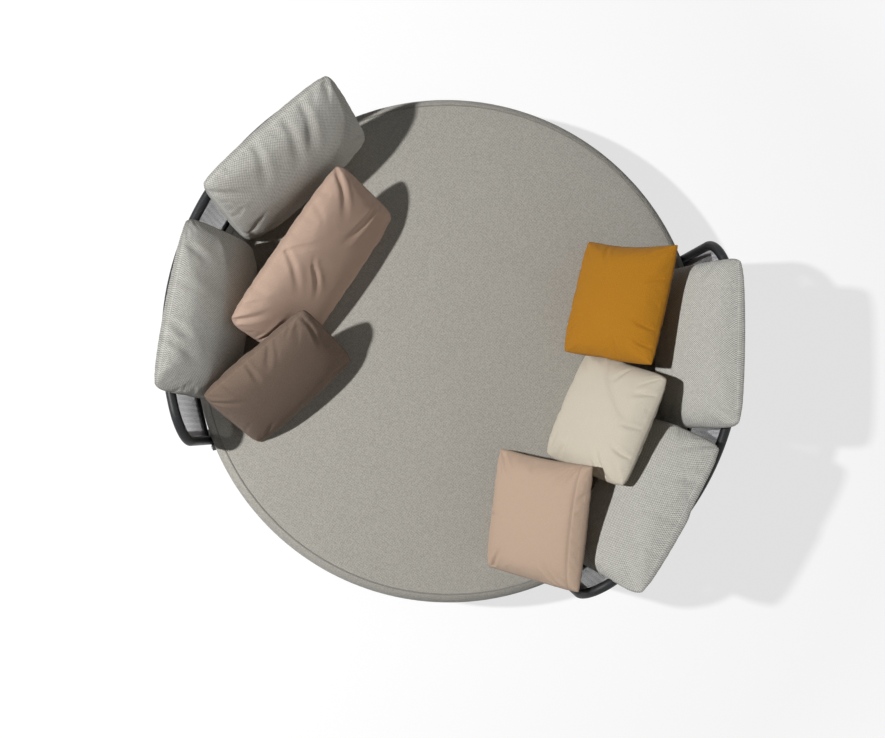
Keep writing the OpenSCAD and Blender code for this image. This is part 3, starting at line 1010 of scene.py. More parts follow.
def about_z(points: FloatArray, angle: FloatArray) -> FloatArray:
    """Turns each point about Z by its own angle.

    Args:
        points: Rows of three.
        angle: One angle in radians a point.

    Returns:
        The turned points.
    """
    c, s = np.cos(angle), np.sin(angle)
    x, y, z = points.T
    return np.stack([x * c - y * s, x * s + y * c, z], axis=1)


@dataclass
class Backrest:
    """One bent backrest tube with its stretched mesh.

    Attributes:
        side: End of the daybed.
        rail_r: Radius of the top rail's centre line.
        post_r: Radius of a post's centre line at the ring.
        rail_z: Height of the top rail's centre line.
        ring_z: Height of the ring's centre line.
        corner_r: Radius of the corner bends.
        half_angle: Half the angle of the top rail's arc, in degrees.
        tube_r: Radius of the bent tube.
        lower_rail_rise: Height of the lower rail above the ring.
        lower_rail_tube_r: Radius of the lower rail's tube.
        post_tail: How far a post reaches below the ring's centre line.
        mesh_t: Thickness of the mesh.
        draw_in: How far the stretched mesh is drawn in halfway between its rails.
        lean: Lean of the posts, in radians.
        flat_size: Width and height of the mesh when it is laid flat.
        flat_area: Area of the mesh.
    """

    side: Side
    rail_r: float = 1.175
    post_r: float = 1.135
    rail_z: float = 0.690
    ring_z: float = 0.2147
    corner_r: float = 0.130
    half_angle: float = 36.0
    tube_r: float = 0.020
    lower_rail_rise: float = 0.062
    lower_rail_tube_r: float = 0.0125
    post_tail: float = 0.028
    mesh_t: float = 0.0012
    draw_in: float = 0.004
    lean: float = field(init=False)
    flat_size: tuple[float, float] = field(init=False)
    flat_area: float = field(init=False)

    def __post_init__(self) -> None:
        """Works out the lean of the posts from the radii at the rail and at the ring."""
        self.lean = math.atan((self.rail_r - self.post_r) / (self.rail_z - self.ring_z))

    @property
    def _outwards(self) -> list[float]:
        """Unit vector square to the leaning posts, away from the mattress."""
        return [math.cos(self.lean), 0.0, -math.sin(self.lean)]

    def _end_line(self) -> tuple[FloatArray, FloatArray]:
        """Centre line from the arc's end round the bend and down the post, in the end's own frame.

        The bend runs over the sine of the turn along the rail and its cosine up, both times the
        bend's radius. Heights are then measured along the leaning post.

        Returns:
            Rows of three from the arc's end down, and the unit normal at each.
        """
        turn = np.radians(np.linspace(0, 90, 25))
        post_h = self.rail_z - self.ring_z + self.post_tail
        down = np.linspace(0, post_h / math.cos(self.lean) - self.corner_r, 14)[1:]
        y = np.concatenate([self.corner_r * np.sin(turn), np.full(len(down), self.corner_r)])
        z = np.concatenate([self.corner_r * (np.cos(turn) - 1), -self.corner_r - down])
        x = self.rail_r + z * math.sin(self.lean)
        line = np.stack([x, y, self.rail_z + z * math.cos(self.lean)], axis=1)
        return line, np.tile(self._outwards, (len(line), 1))

    def tube(self) -> bpy.types.Object:
        """Builds the bent tube: post, bend, arc, bend and post as one centre line.

        Returns:
            The tube.
        """
        line, normal = self._end_line()
        half = math.radians(self.half_angle)
        theta = np.linspace(-half, half, 91)[1:-1]
        x, y = self.rail_r * np.cos(theta), self.rail_r * np.sin(theta)
        rail = np.stack([x, y, np.full_like(theta, self.rail_z)], axis=1)
        flat = np.tile(self._outwards, (len(theta), 1))
        plus = about_z(line, np.full(len(line), half))
        plus_n = about_z(normal, np.full(len(line), half))
        mirror = np.array([1.0, -1.0, 1.0])
        path = np.concatenate([(plus * mirror)[::-1], rail, plus])
        normals = np.concatenate([(plus_n * mirror)[::-1], about_z(flat, theta), plus_n])
        return swept_tube(
            f"{self.side.label}_backrest_tube",
            self.side.turned(path),
            self.side.turned(normals),
            np.full(len(path), self.tube_r),
            sides=40,
        )

    def mesh(self) -> bpy.types.Object:
        """Builds the stretched mesh as one sheet: its foot runs along the lower rail and straight
        on to the posts, and each column rises along the leaning posts' direction to the rail or the
        bend.

        Returns:
            The sheet.
        """
        half = math.radians(self.half_angle)
        low_z = self.ring_z + self.lower_rail_rise
        low_r = self.post_r + self.lower_rail_rise * math.tan(self.lean)
        full_h = (self.rail_z - low_z) / math.cos(self.lean)
        edge_r = self.corner_r - self.tube_r
        arc = np.linspace(-half, half, 121)
        # The last column stays just inside the bend, so that it keeps a height.
        past = edge_r * np.sin(np.linspace(0, math.pi / 2, 15))[1:] * 0.999
        y_end = np.concatenate([-past[::-1], np.zeros(len(arc)), past])
        theta = np.concatenate([np.full(len(past), -half), arc, np.full(len(past), half)])
        bend = full_h - self.corner_r + np.sqrt(np.maximum(edge_r**2 - y_end**2, 0))
        top = np.where(np.abs(y_end) > 0, bend, full_h - self.tube_r)
        low = self.lower_rail_tube_r
        q = np.linspace(0, 1, 41)[:, None]
        rise = low + q * (top[None, :] - low)
        draw = self.draw_in * np.sin(math.pi * q) * np.ones_like(rise)
        flat = np.stack(
            [
                low_r + rise * math.sin(self.lean) - draw,
                np.broadcast_to(y_end, rise.shape),
                low_z + rise * math.cos(self.lean),
            ],
            axis=-1,
        ).reshape(-1, 3)
        points = self.side.turned(about_z(flat, np.tile(theta, len(q))))
        rows, columns = rise.shape
        quads = grid_quads(rows, columns)
        way = theta * low_r + y_end
        uv = corner_uv(quads, np.broadcast_to(way, rise.shape).ravel(), rise.ravel())
        to_side = theta[-1] * low_r + edge_r - np.abs(way)
        edge = np.minimum(np.minimum(rise - low, top[None, :] - rise), to_side[None, :])
        sheet = mesh_piece(f"{self.side.label}_mesh_panel", points, [quads], [uv], edge.ravel())
        thick = sheet.modifiers.new("Thickness", "SOLIDIFY")
        thick.thickness = self.mesh_t
        thick.offset = 0.0
        width = 2 * (half * (low_r + self.rail_r) / 2 + edge_r)
        self.flat_size = (width, full_h - low - self.tube_r)
        self.flat_area = self._area(points, quads)
        return sheet

    @staticmethod
    def _area(points: FloatArray, quads: IntArray) -> float:
        """Area of the quads, as half the cross product of each one's diagonals.

        Args:
            points: Rows of three.
            quads: Corner numbers, one row a face.

        Returns:
            Square metres.
        """
        p = points[quads]
        crossed = np.cross(p[:, 2] - p[:, 0], p[:, 3] - p[:, 1])
        return float(np.linalg.norm(crossed, axis=1).sum() / 2)

    def build(self, finishes: Finishes) -> None:
        """Builds and dresses the backrest.

        Args:
            finishes: All finishes.
        """
        label = self.side.label
        tube = self.tube()
        finishes.dress(tube, "coated_steel")
        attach(tube, "frame")
        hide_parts(f"{label}_top_rail", f"{label}_side_posts")
        panel = self.mesh()
        finishes.dress(panel, "back_mesh")
        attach(panel, "frame")
        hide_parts(f"{label}_back_mesh")


# Mattress


@dataclass(frozen=True)
class Crease:
    """A faint crease in the mattress top.

    Attributes:
        x: Place along X of its middle.
        y: Place along Y of its middle.
        angle: Its direction in degrees.
        length: Its length.
        width: Its width.
        depth: Its depth.
    """

    x: float
    y: float
    angle: float
    length: float
    width: float
    depth: float

    def dip(self, x: FloatArray, y: FloatArray) -> FloatArray:
        """Depth of the crease at each place: a bell across it and a wider bell along it.

        Args:
            x: Places along X.
            y: Places along Y.

        Returns:
            Depths in metres.
        """
        c, s = math.cos(math.radians(self.angle)), math.sin(math.radians(self.angle))
        along = (x - self.x) * c + (y - self.y) * s
        across = -(x - self.x) * s + (y - self.y) * c + 0.15 * along**2 / self.length
        return self.depth * np.exp(-((2 * along / self.length) ** 2) - (across / self.width) ** 2)


@dataclass
class Mattress:
    """The round mattress: a sewn cover with a bulging side, and the piping on its top seam.

    Attributes:
        outer_r: Radius at the widest place.
        seam_r: Radius of both seams.
        seat_z: Height of the middle of the top.
        crown: Rise from the seam to the middle.
        thickness: Height between the seams.
        piping_r: Radius of the piping.
        shoulder: How far the top turns down at the seam.
        creases: Faint creases in the top.
        TOP_ROWS: Rows of points from the middle of the top to its seam.
        SIDE_ROWS: Rows between the seams.
        LOW_ROWS: Rows from the lower seam to the middle of the underside.
        SIDES: Points round the mattress.
        CROWDING: Power by which the rows of a flat face crowd towards the seam.
    """

    outer_r: float = 1.120
    seam_r: float = 1.078
    seat_z: float = 0.400
    crown: float = 0.008
    thickness: float = 0.142
    piping_r: float = 0.0035
    shoulder: float = 0.0032
    creases: tuple[Crease, ...] = (
        Crease(-0.2346, 0.3063, 95.0, 0.17, 0.010, 0.0022),
        Crease(-0.2100, 0.2650, 120.0, 0.12, 0.008, 0.0014),
        Crease(0.2750, -0.2453, 60.0, 0.20, 0.011, 0.0020),
        Crease(0.2500, -0.2800, 20.0, 0.12, 0.009, 0.0012),
        Crease(0.0200, 0.5200, 15.0, 0.30, 0.020, 0.0014),
        Crease(-0.1000, -0.6200, -10.0, 0.34, 0.022, 0.0016),
    )

    TOP_ROWS = 63
    SIDE_ROWS = 28
    LOW_ROWS = 21
    SIDES = 420
    CROWDING = 1.7

    @property
    def top_seam_z(self) -> float:
        """Height of the top seam."""
        return self.seat_z - self.crown

    def surface_z(self, x: FloatArray, y: FloatArray) -> FloatArray:
        """Height of the undented top: the middle's height less the crown times the squared share of
        the seam's radius, and less the shoulder, which fades exponentially inwards from the seam.

        Args:
            x: Places along X.
            y: Places along Y.

        Returns:
            Heights.
        """
        radius = np.minimum(np.hypot(x, y), self.seam_r)
        shoulder = self.shoulder * np.exp(-(self.seam_r - radius) / 0.028)
        return self.seat_z - self.crown * (radius / self.seam_r) ** 2 - shoulder

    def _profile(self) -> tuple[FloatArray, FloatArray, FloatArray]:
        """Section from the middle of the top over the side to the middle of the underside.

        The side is an arc through both seams and the widest place between them.

        Returns:
            Radii, heights and distances to the nearer seam.
        """
        inner = 1 - np.linspace(0, 1, self.TOP_ROWS + 1)[1:]
        r_top = self.seam_r * (1 - inner**self.CROWDING)
        z_top = self.surface_z(r_top, np.zeros_like(r_top))
        bulge = self.outer_r - self.seam_r
        side_r = ((self.thickness / 2) ** 2 + bulge**2) / (2 * bulge)
        reach = math.asin(min(self.thickness / 2 / side_r, 1.0))
        phi = np.linspace(reach, -reach, self.SIDE_ROWS + 2)[1:-1]
        r_side = self.outer_r - side_r + side_r * np.cos(phi)
        z_side = self.top_seam_z - self.thickness / 2 + side_r * np.sin(phi)
        r_low = self.seam_r * (1 - np.linspace(0, 1, self.LOW_ROWS + 1)[:-1] ** self.CROWDING)
        z_low = np.full_like(r_low, self.top_seam_z - self.thickness)
        near_side = side_r * (reach - np.abs(phi))
        near = np.concatenate([self.seam_r - r_top, near_side, self.seam_r - r_low])
        return np.concatenate([r_top, r_side, r_low]), np.concatenate([z_top, z_side, z_low]), near

    def cover(self) -> bpy.types.Object:
        """Builds the cover as the section turned about Z. Its skin dips beside the seams, and
        gathers there as a sum of three sines of the angle that fades with the distance from the
        seam.

        Returns:
            The cover.
        """
        sides, side_end = self.SIDES, self.TOP_ROWS + self.SIDE_ROWS
        r, z, near = self._profile()
        theta = np.linspace(0, 2 * math.pi, sides, endpoint=False)
        rr, tt = np.meshgrid(r, theta, indexing="ij")
        zz = np.broadcast_to(z[:, None], rr.shape).copy()
        dd = np.broadcast_to(near[:, None], rr.shape)
        level = np.arange(len(r))[:, None] * np.ones_like(tt)
        on_top = level < self.TOP_ROWS
        on_side = ~on_top & (level < side_end)
        gather = np.sin(61 * tt + 1.1) + 0.7 * np.sin(97 * tt + 2.0 * np.sin(3 * tt))
        gather = (gather + 0.5 * np.sin(23 * tt)) / 2.2
        dip = 0.0009 * np.exp(-dd / 0.012) + 0.0006 * (0.5 + 0.5 * gather) * np.exp(-dd / 0.055)
        dip *= smooth_step(dd, 0.0, 0.003)
        x, y = rr * np.cos(tt), rr * np.sin(tt)
        crease = sum(c.dip(x, y) for c in self.creases)
        wave = 0.0008 * (1 + np.sin(5.1 * x + 1.3) * np.sin(4.3 * y + 0.4))
        zz = zz - np.where(on_top, dip + crease + wave * smooth_step(dd, 0.05, 0.30), 0.0)
        rr = rr - np.where(on_side, dip * 1.6, 0.0)
        body = np.stack([rr * np.cos(tt), rr * np.sin(tt), zz], axis=-1).reshape(-1, 3)
        poles = np.array([[0, 0, self.seat_z - 0.0008], [0, 0, self.top_seam_z - self.thickness]])
        points = np.concatenate([body, poles])
        quads = grid_quads(len(r), sides, wrap=True)[:, ::-1]
        first, last = np.arange(sides), np.arange(sides) + (len(r) - 1) * sides
        top_fan = np.stack([first, np.roll(first, -1), np.full(sides, len(body))], axis=1)
        low_fan = np.stack([last, np.full(sides, len(body) + 1), np.roll(last, -1)], axis=1)
        seam = np.concatenate([dd.ravel(), [self.seam_r, self.seam_r]])
        row, column = quads // sides, quads % sides
        closing = column.max(axis=1, keepdims=True) == sides - 1
        wrapped = np.where((column == 0) & closing, sides, column)
        around = wrapped * 2 * math.pi / sides * self.seam_r
        down = np.concatenate([[0.0], np.cumsum(np.hypot(np.diff(r), np.diff(z)))])
        is_side = (row.min(axis=1) >= self.TOP_ROWS - 1) & (row.max(axis=1) <= side_end)
        flat_uv = points[:, :2]
        side_uv = np.stack([around, down[row]], axis=-1)
        uv_quads = np.where(is_side[:, None, None], side_uv, flat_uv[quads])
        uv = [uv_quads, flat_uv[top_fan], flat_uv[low_fan]]
        return mesh_piece("mattress_cover", points, [quads, top_fan, low_fan], uv, seam)

    def piping(self) -> bpy.types.Object:
        """Builds the piping: a circle carried round the top seam, swelling a little with its
        gathers.

        Returns:
            The piping.
        """
        theta = np.linspace(0, 2 * math.pi, 720, endpoint=False)
        wobble = 0.00035 * (np.sin(61 * theta + 1.1) + 0.6 * np.sin(143 * theta))
        radius = self.seam_r + wobble
        height = self.top_seam_z - self.shoulder - 0.0012 + 0.0002 * np.sin(97 * theta)
        path = np.stack([radius * np.cos(theta), radius * np.sin(theta), height], axis=1)
        normal = np.stack([np.cos(theta), np.sin(theta), np.zeros_like(theta)], axis=1)
        swell = self.piping_r * (0.97 + 0.03 * np.sin(180 * theta))
        return swept_tube("mattress_edge_piping", path, normal, swell, sides=14, closed=True)

    def build(self, finishes: Finishes) -> None:
        """Builds and dresses the mattress.

        Args:
            finishes: All finishes.
        """
        cover = self.cover()
        finishes.dress(cover, "mattress_cover")
        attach(cover, "mattress")
        inner = ("core", "top_panel", "side_band", "bottom_panel")
        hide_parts(*(f"mattress_{part}" for part in inner))
        piping = self.piping()
        finishes.dress(piping, "mattress_cover")
        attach(piping, "mattress")
        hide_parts("mattress_piping")
        LOG.info("mattress: cover %.2f m across, piping", 2 * self.outer_r)


# Cushions and pillows


class Skin(Enum):
    """The two skins of a cushion, with the sign of their crown."""

    FRONT = 1.0
    REAR = -1.0


@dataclass(frozen=True)
class Fold:
    """A fold in a front skin, between two places given as shares of half its width and height.

    Attributes:
        start: Place where it begins, mostly at the seam.
        end: Place where it runs out.
        width: Half its width.
        depth: Its depth.
    """

    start: tuple[float, float]
    end: tuple[float, float]
    width: float = 0.012
    depth: float = 0.006

    def relief(self, x: FloatArray, y: FloatArray, half_w: float, half_h: float) -> FloatArray:
        """Height that the fold adds: a bell-shaped valley with a lower ridge on both sides, which
        rises quickly at its start, runs out at its end and bends a little.

        Args:
            x: Places across the skin, in metres.
            y: Places up the skin, in metres.
            half_w: Half the width of the cover.
            half_h: Half its height.

        Returns:
            Heights in metres.
        """
        ax, ay = self.start[0] * half_w, self.start[1] * half_h
        bx, by = self.end[0] * half_w, self.end[1] * half_h
        length = math.hypot(bx - ax, by - ay)
        ux, uy = (bx - ax) / length, (by - ay) / length
        along = ((x - ax) * ux + (y - ay) * uy) / length
        across = (x - ax) * -uy + (y - ay) * ux + 0.12 * length * (along - 0.5) ** 2
        taper = smooth_step(along, -0.12, 0.10) * (1 - smooth_step(along, 0.35, 1.1))
        wide = self.width * (0.7 + 0.6 * np.clip(along, 0, 1))
        valley = np.exp(-((across / wide) ** 2))
        ridge = 0.5 * np.exp(-((across / wide - 1.9) ** 2))
        low_ridge = 0.3 * np.exp(-((across / wide + 1.9) ** 2))
        return self.depth * taper * (ridge + low_ridge - valley)


@dataclass(frozen=True)
class Filling:
    """How a cover is blown up by its filling.

    Attributes:
        pressure: Pressure inside the cover.
        slack: Share by which the cloth is longer than the form in the calm parts of a skin.
        gathered: The same share beside the seam and where folds lie, which makes the cloth wrinkle.
        bending: Stiffness against bending.
        cap: Largest move of a point.
        frames: Steps of the simulation.
    """

    pressure: float = 2.2
    slack: float = 0.010
    gathered: float = 0.085
    bending: float = 0.25
    cap: float = 0.022
    frames: int = 22


@dataclass(frozen=True)
class Touch:
    """Plane in which two neighbouring cushions press each other flat.

    Attributes:
        point: A point of the plane.
        normal: Unit vector towards the neighbour.
        gap: Distance that stays free on this side of the plane.
        softness: Depth over which the skin turns into the flat place.
        most: Largest depth that is taken off.
    """

    point: FloatArray
    normal: FloatArray
    gap: float = 0.001
    softness: float = 0.004
    most: float = 0.009

    def flattened(self, points: FloatArray) -> FloatArray:
        """Moves back what lies beyond the plane: the depth past the gap becomes the softness times
        the logarithm of one plus its exponential, and that much is taken off, up to a largest depth
        by way of a hyperbolic tangent.

        Args:
            points: Rows of three.

        Returns:
            The moved points.
        """
        past = ((points - self.point) @ self.normal + self.gap) / self.softness
        taken = self.softness * np.where(past > 30, past, np.log1p(np.exp(np.minimum(past, 30))))
        taken = self.most * np.tanh(taken / self.most)
        return points - taken[:, None] * self.normal


@dataclass
class Cushion:
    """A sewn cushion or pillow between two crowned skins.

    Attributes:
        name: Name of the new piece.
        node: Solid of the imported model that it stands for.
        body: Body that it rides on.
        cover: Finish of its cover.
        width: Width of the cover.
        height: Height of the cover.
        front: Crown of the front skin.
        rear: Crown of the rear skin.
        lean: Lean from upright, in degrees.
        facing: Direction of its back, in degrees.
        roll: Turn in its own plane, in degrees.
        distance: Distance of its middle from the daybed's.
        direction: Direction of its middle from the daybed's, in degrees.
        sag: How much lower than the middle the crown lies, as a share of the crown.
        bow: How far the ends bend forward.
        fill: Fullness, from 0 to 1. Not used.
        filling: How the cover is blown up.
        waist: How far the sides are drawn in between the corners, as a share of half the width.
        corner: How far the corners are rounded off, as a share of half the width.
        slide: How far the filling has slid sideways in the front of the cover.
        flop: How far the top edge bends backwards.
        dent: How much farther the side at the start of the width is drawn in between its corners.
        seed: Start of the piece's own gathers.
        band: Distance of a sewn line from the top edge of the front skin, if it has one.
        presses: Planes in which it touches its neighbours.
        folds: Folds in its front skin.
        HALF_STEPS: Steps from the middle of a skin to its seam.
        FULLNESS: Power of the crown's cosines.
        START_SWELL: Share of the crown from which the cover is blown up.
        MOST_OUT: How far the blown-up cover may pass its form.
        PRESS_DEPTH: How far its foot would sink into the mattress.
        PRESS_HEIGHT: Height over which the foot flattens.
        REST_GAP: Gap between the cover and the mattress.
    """

    name: str
    node: str
    body: str
    cover: str
    width: float
    height: float
    front: float
    rear: float
    lean: float
    facing: float
    roll: float
    distance: float
    direction: float
    sag: float = 0.0
    bow: float = 0.0
    fill: float = 0.7
    filling: Filling = field(default_factory=Filling)
    waist: float = 0.0
    corner: float = 0.065
    slide: float = 0.0
    flop: float = 0.0
    dent: float = 0.0
    seed: float = 0.0
    band: float | None = None
    presses: list[Touch] = field(default_factory=list)
    folds: tuple[Fold, ...] = ()

    HALF_STEPS = 36
    FULLNESS = 0.69
    START_SWELL = 0.90
    MOST_OUT = 0.004
    PRESS_DEPTH = 0.014
    PRESS_HEIGHT = 0.022
    REST_GAP = 0.0003

    def _spread(self) -> FloatArray:
        """Places across a skin from -1 to 1, closer together towards the seam: a mix of a straight
        line and the sine of a quarter turn."""
        p = np.linspace(-1, 1, 2 * self.HALF_STEPS + 1)
        return 0.34 * p + 0.66 * np.sin(p * math.pi / 2)

    def _grid(self) -> tuple[FloatArray, FloatArray]:
        """Places across and up a skin, from -1 to 1, as two grids."""
        u = self._spread()
        return tuple(np.meshgrid(u, u, indexing="ij"))

    def _drawn_in(self, u: FloatArray) -> FloatArray:
        """Share of the half width that is left where the place along the other direction is u."""
        return 1 - self.waist * (1 - u * u) - self.corner * u**8

    def _flat_skin(self, skin: Skin, swell: float) -> FloatArray:
        """One skin in the cushion's own frame: width, height and depth.

        The depth is the crown times the product of both cosines raised to the fullness, less the
        sag, and it runs out into a flat lip along the seam. The bow adds the squared place across,
        less towards the top edge, which flops back, and the front skin has its folds.

        Args:
            skin: Front or rear skin.
            swell: Factor on the crown.

        Returns:
            A grid of points.
        """
        s, t = self._grid()
        cosines = np.sqrt(np.maximum(1 - s * s, 0)) * np.sqrt(np.maximum(1 - t * t, 0))
        bulge = cosines**self.FULLNESS * (1 - self.sag * t)
        lip = 0.25 + 0.75 * smooth_step(self.seam_distance(), 0.0, 0.008)
        crown = self.front if skin is Skin.FRONT else self.rear
        depth = skin.value * crown * swell * bulge * lip
        depth += self.bow * s * s * (1 - 0.65 * smooth_step(t, 0.0, 1.0))
        depth -= self.flop * smooth_step(t, 0.0, 1.2)
        half_w, half_h = self.width / 2, self.height / 2
        slid = np.zeros_like(s)
        if skin is Skin.FRONT:
            slid = self.slide * bulge * lip
            reliefs = (fold.relief(s * half_w, t * half_h, half_w, half_h) for fold in self.folds)
            folded = sum(reliefs, np.zeros_like(s))
            depth += folded * smooth_step(self.seam_distance(), 0.0, 0.02)
            if self.band is not None:
                groove = np.exp(-(((1 - t) * half_h - self.band) / 0.006) ** 2)
                depth -= 0.007 * groove * smooth_step(1 - np.abs(s), 0.0, 0.05)
        across = self._drawn_in(t) - self.dent * (1 - t * t) * (s < 0)
        x, y = s * half_w * across + slid, t * half_h * self._drawn_in(s)
        return np.stack([x, y, depth], axis=-1)

    def seam_distance(self) -> FloatArray:
        """Distance of each grid point from the nearest side of the cover."""
        s, t = self._grid()
        return np.minimum((1 - np.abs(s)) * self.width / 2, (1 - np.abs(t)) * self.height / 2)

    def _placed(self, p: FloatArray) -> FloatArray:
        """Rolls, leans, turns and moves points of the cushion's own frame onto the daybed.

        Args:
            p: Rows of three in the cushion's own frame.

        Returns:
            Rows of three in the frame of the model.
        """
        angles = (self.roll, self.lean, self.facing, self.direction)
        roll, lean, facing, direction = (math.radians(angle) for angle in angles)
        x = p[..., 0] * math.cos(roll) - p[..., 1] * math.sin(roll)
        y = p[..., 0] * math.sin(roll) + p[..., 1] * math.cos(roll)
        z = p[..., 2]
        back = y * math.sin(lean) - z * math.cos(lean)
        up = y * math.cos(lean) + z * math.sin(lean)
        east = back * math.cos(facing) + x * math.sin(facing) + self.distance * math.cos(direction)
        north = back * math.sin(facing) - x * math.cos(facing) + self.distance * math.sin(direction)
        return np.stack([east, north, up], axis=-1)

    def _seated(self, points: FloatArray, mattress: Mattress) -> FloatArray:
        """Lowers points onto the mattress: the lowest part flattens as an exponential of its
        height.

        Args:
            points: Rows of three.
            mattress: Mattress that it lies on.

        Returns:
            The lowered points.
        """
        base = mattress.surface_z(points[:, 0], points[:, 1])
        above = points[:, 2] - base
        height, press = above - above.min() - self.PRESS_DEPTH, self.PRESS_HEIGHT
        settled = np.where(height > press, height, press * np.exp((height - press) / press))
        return np.column_stack([points[:, :2], base + settled - settled.min() + self.REST_GAP])

    def _joined(self, front: FloatArray, rear: FloatArray) -> FloatArray:
        """Lists the points of both skins, those of the seam only once."""
        width = front.shape[-1]
        return np.concatenate([front.reshape(-1, width), rear[1:-1, 1:-1].reshape(-1, width)])

    def _on_both(self, values: FloatArray) -> FloatArray:
        """Lists a grid of numbers for the points of both skins."""
        return self._joined(values[..., None], values[..., None]).ravel()

    def _numbering(self) -> tuple[IntArray, IntArray]:
        """Numbers of the grid points of the front and of the rear skin in the joined list.

        Returns:
            Two grids of numbers.
        """
        m = 2 * self.HALF_STEPS + 1
        front = np.arange(m * m).reshape(m, m)
        rear = front.copy()
        rear[1:-1, 1:-1] = m * m + np.arange((m - 2) ** 2).reshape(m - 2, m - 2)
        return front, rear

    def _faces(self) -> IntArray:
        """Quads of both skins, all turned outwards.

        Returns:
            Corner numbers, one row a face.
        """
        m = 2 * self.HALF_STEPS + 1
        quads = grid_quads(m, m)
        front, rear = self._numbering()
        return np.concatenate([front.ravel()[quads][:, ::-1], rear.ravel()[quads]])

    def _looseness(self) -> FloatArray:
        """How loose the cloth is, from 0 to 1: highest beside the seam, and along a few long waves
        that cross the skin, as the cube of a sine of the place across and up.

        Returns:
            A grid of shares.
        """
        s, t = self._grid()
        wave = np.sin(3.1 * s + 4.3 * t + self.seed) * np.sin(2.2 * t - 3.4 * s + 1.9 * self.seed)
        beside = np.exp(-self.seam_distance() / 0.05)
        return np.clip(beside + 0.9 * np.maximum(wave, 0) ** 1.5, 0, 1)

    def _gathers(self) -> FloatArray:
        """Small dips beside the seam: a sum of sines of the way round the cover, fading inwards.

        Returns:
            A grid of depths in metres.
        """
        s, t = self._grid()
        x, y = s * self.width, t * self.height
        along = np.where(np.abs(x) > np.abs(y), y, x)
        bent = along * 87 + 2.3 * self.seed + 3 * np.sin(9 * along)
        wave = np.sin(along * 150 + self.seed) + 0.8 * np.sin(bent)
        depth = self.seam_distance()
        fading = np.exp(-depth / 0.03) * smooth_step(depth, 0.002, 0.012)
        return 0.0014 * (0.6 + 0.4 * wave) * fading

    def _blown_up(self, piece: bpy.types.Object, pinned: IntArray) -> FloatArray:
        """Lets the filling press the cover outwards with Blender's cloth, and reads where it ends.

        Args:
            piece: The cover at its start.
            pinned: Numbers of the seam's points, which stay.

        Returns:
            The points after the last step.
        """
        scene = bpy.context.scene
        group = piece.vertex_groups.new(name="seam")
        group.add([int(i) for i in pinned], 1.0, "REPLACE")
        loose = piece.vertex_groups.new(name="gathered")
        for number, weight in enumerate(self._on_both(self._looseness())):
            loose.add([number], float(weight), "REPLACE")
        modifier = piece.modifiers.new("Filling", "CLOTH")
        cloth = modifier.settings
        cloth.quality = 5
        cloth.mass = 0.2
        cloth.tension_stiffness = cloth.compression_stiffness = 12.0
        cloth.shear_stiffness = 4.0
        cloth.bending_stiffness = self.filling.bending
        cloth.use_pressure = True
        cloth.uniform_pressure_force = self.filling.pressure
        cloth.shrink_min, cloth.shrink_max = -self.filling.slack, -self.filling.gathered
        cloth.vertex_group_shrink = loose.name
        cloth.vertex_group_mass = group.name
        cloth.effector_weights.gravity = 0.0
        modifier.collision_settings.use_collision = False
        cache = modifier.point_cache
        cache.frame_start, cache.frame_end = 1, self.filling.frames
        for frame in range(1, self.filling.frames + 1):
            scene.frame_set(frame)
        settled = piece.evaluated_get(bpy.context.evaluated_depsgraph_get())
        points = np.empty(len(piece.data.vertices) * 3, np.float32)
        settled.data.vertices.foreach_get("co", points)
        piece.modifiers.remove(modifier)
        piece.vertex_groups.clear()
        scene.frame_set(1)
        return points.reshape(-1, 3).astype(float)

    def _form(self, mattress: Mattress, swell: float) -> FloatArray:
        """Points of the cushion on the mattress, with a factor on its crown."""
        skins = (self._flat_skin(skin, swell) for skin in Skin)
        return self._seated(self._placed(self._joined(*skins)), mattress)

    def _held(self, move: FloatArray, normals: FloatArray) -> FloatArray:
        """Eases moves outwards by a hyperbolic tangent, so that the cover keeps near its form.

        Args:
            move: Move of each point away from the form.
            normals: Unit normal of each point.

        Returns:
            The eased moves.
        """
        out = (move * normals).sum(axis=1, keepdims=True)
        held = np.where(out > 0, self.MOST_OUT * np.tanh(out / self.MOST_OUT), out)
        return move + normals * (held - out)

    def build(self, finishes: Finishes, mattress: Mattress) -> None:
        """Builds, blows up and dresses the cushion.

        Args:
            finishes: All finishes.
            mattress: Mattress that it lies on.
        """
        form, start = self._form(mattress, 1.0), self._form(mattress, self.START_SWELL)
        faces = self._faces()
        s, t = self._grid()
        across, upwards = self._on_both(s * self.width / 2), self._on_both(t * self.height / 2)
        reach = sewn = self.seam_distance()
        # The sewn band line gets a stitch row and painted seam shade from the cover's finish, as the
        # seam does.
        if self.band is not None:
            sewn = np.minimum(reach, np.abs((1 - t) * self.height / 2 - self.band))
        seam = self._joined(sewn[..., None], reach[..., None]).ravel()
        piece = mesh_piece(self.name, start, [faces], [corner_uv(faces, across, upwards)], seam)
        normals = self._outwards(form, faces)
        front, _ = self._numbering()
        pinned = np.unique(np.concatenate([front[0], front[-1], front[:, 0], front[:, -1]]))
        blown = self._blown_up(piece, pinned)
        move = blown - start
        size = np.linalg.norm(move, axis=1, keepdims=True) + 1e-9
        blown = start + move / size * self.filling.cap * np.tanh(size / self.filling.cap)
        final = form + self._held(blown - form, normals)
        final = final - normals * self._on_both(self._gathers())[:, None]
        for plane in self.presses:
            final = plane.flattened(final)
        floor = mattress.surface_z(final[:, 0], final[:, 1]) + self.REST_GAP
        final[:, 2] = np.maximum(final[:, 2], floor)
        piece.data.vertices.foreach_set("co", np.ascontiguousarray(final, np.float32).ravel())
        piece.data.update()
        subdivide(piece, 1)
        finishes.dress(piece, self.cover)
        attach(piece, self.body)
        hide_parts(self.node)
        count = len(piece.data.vertices)
        LOG.info("%s: %d points, %.2f by %.2f m", self.name, count, self.width, self.height)

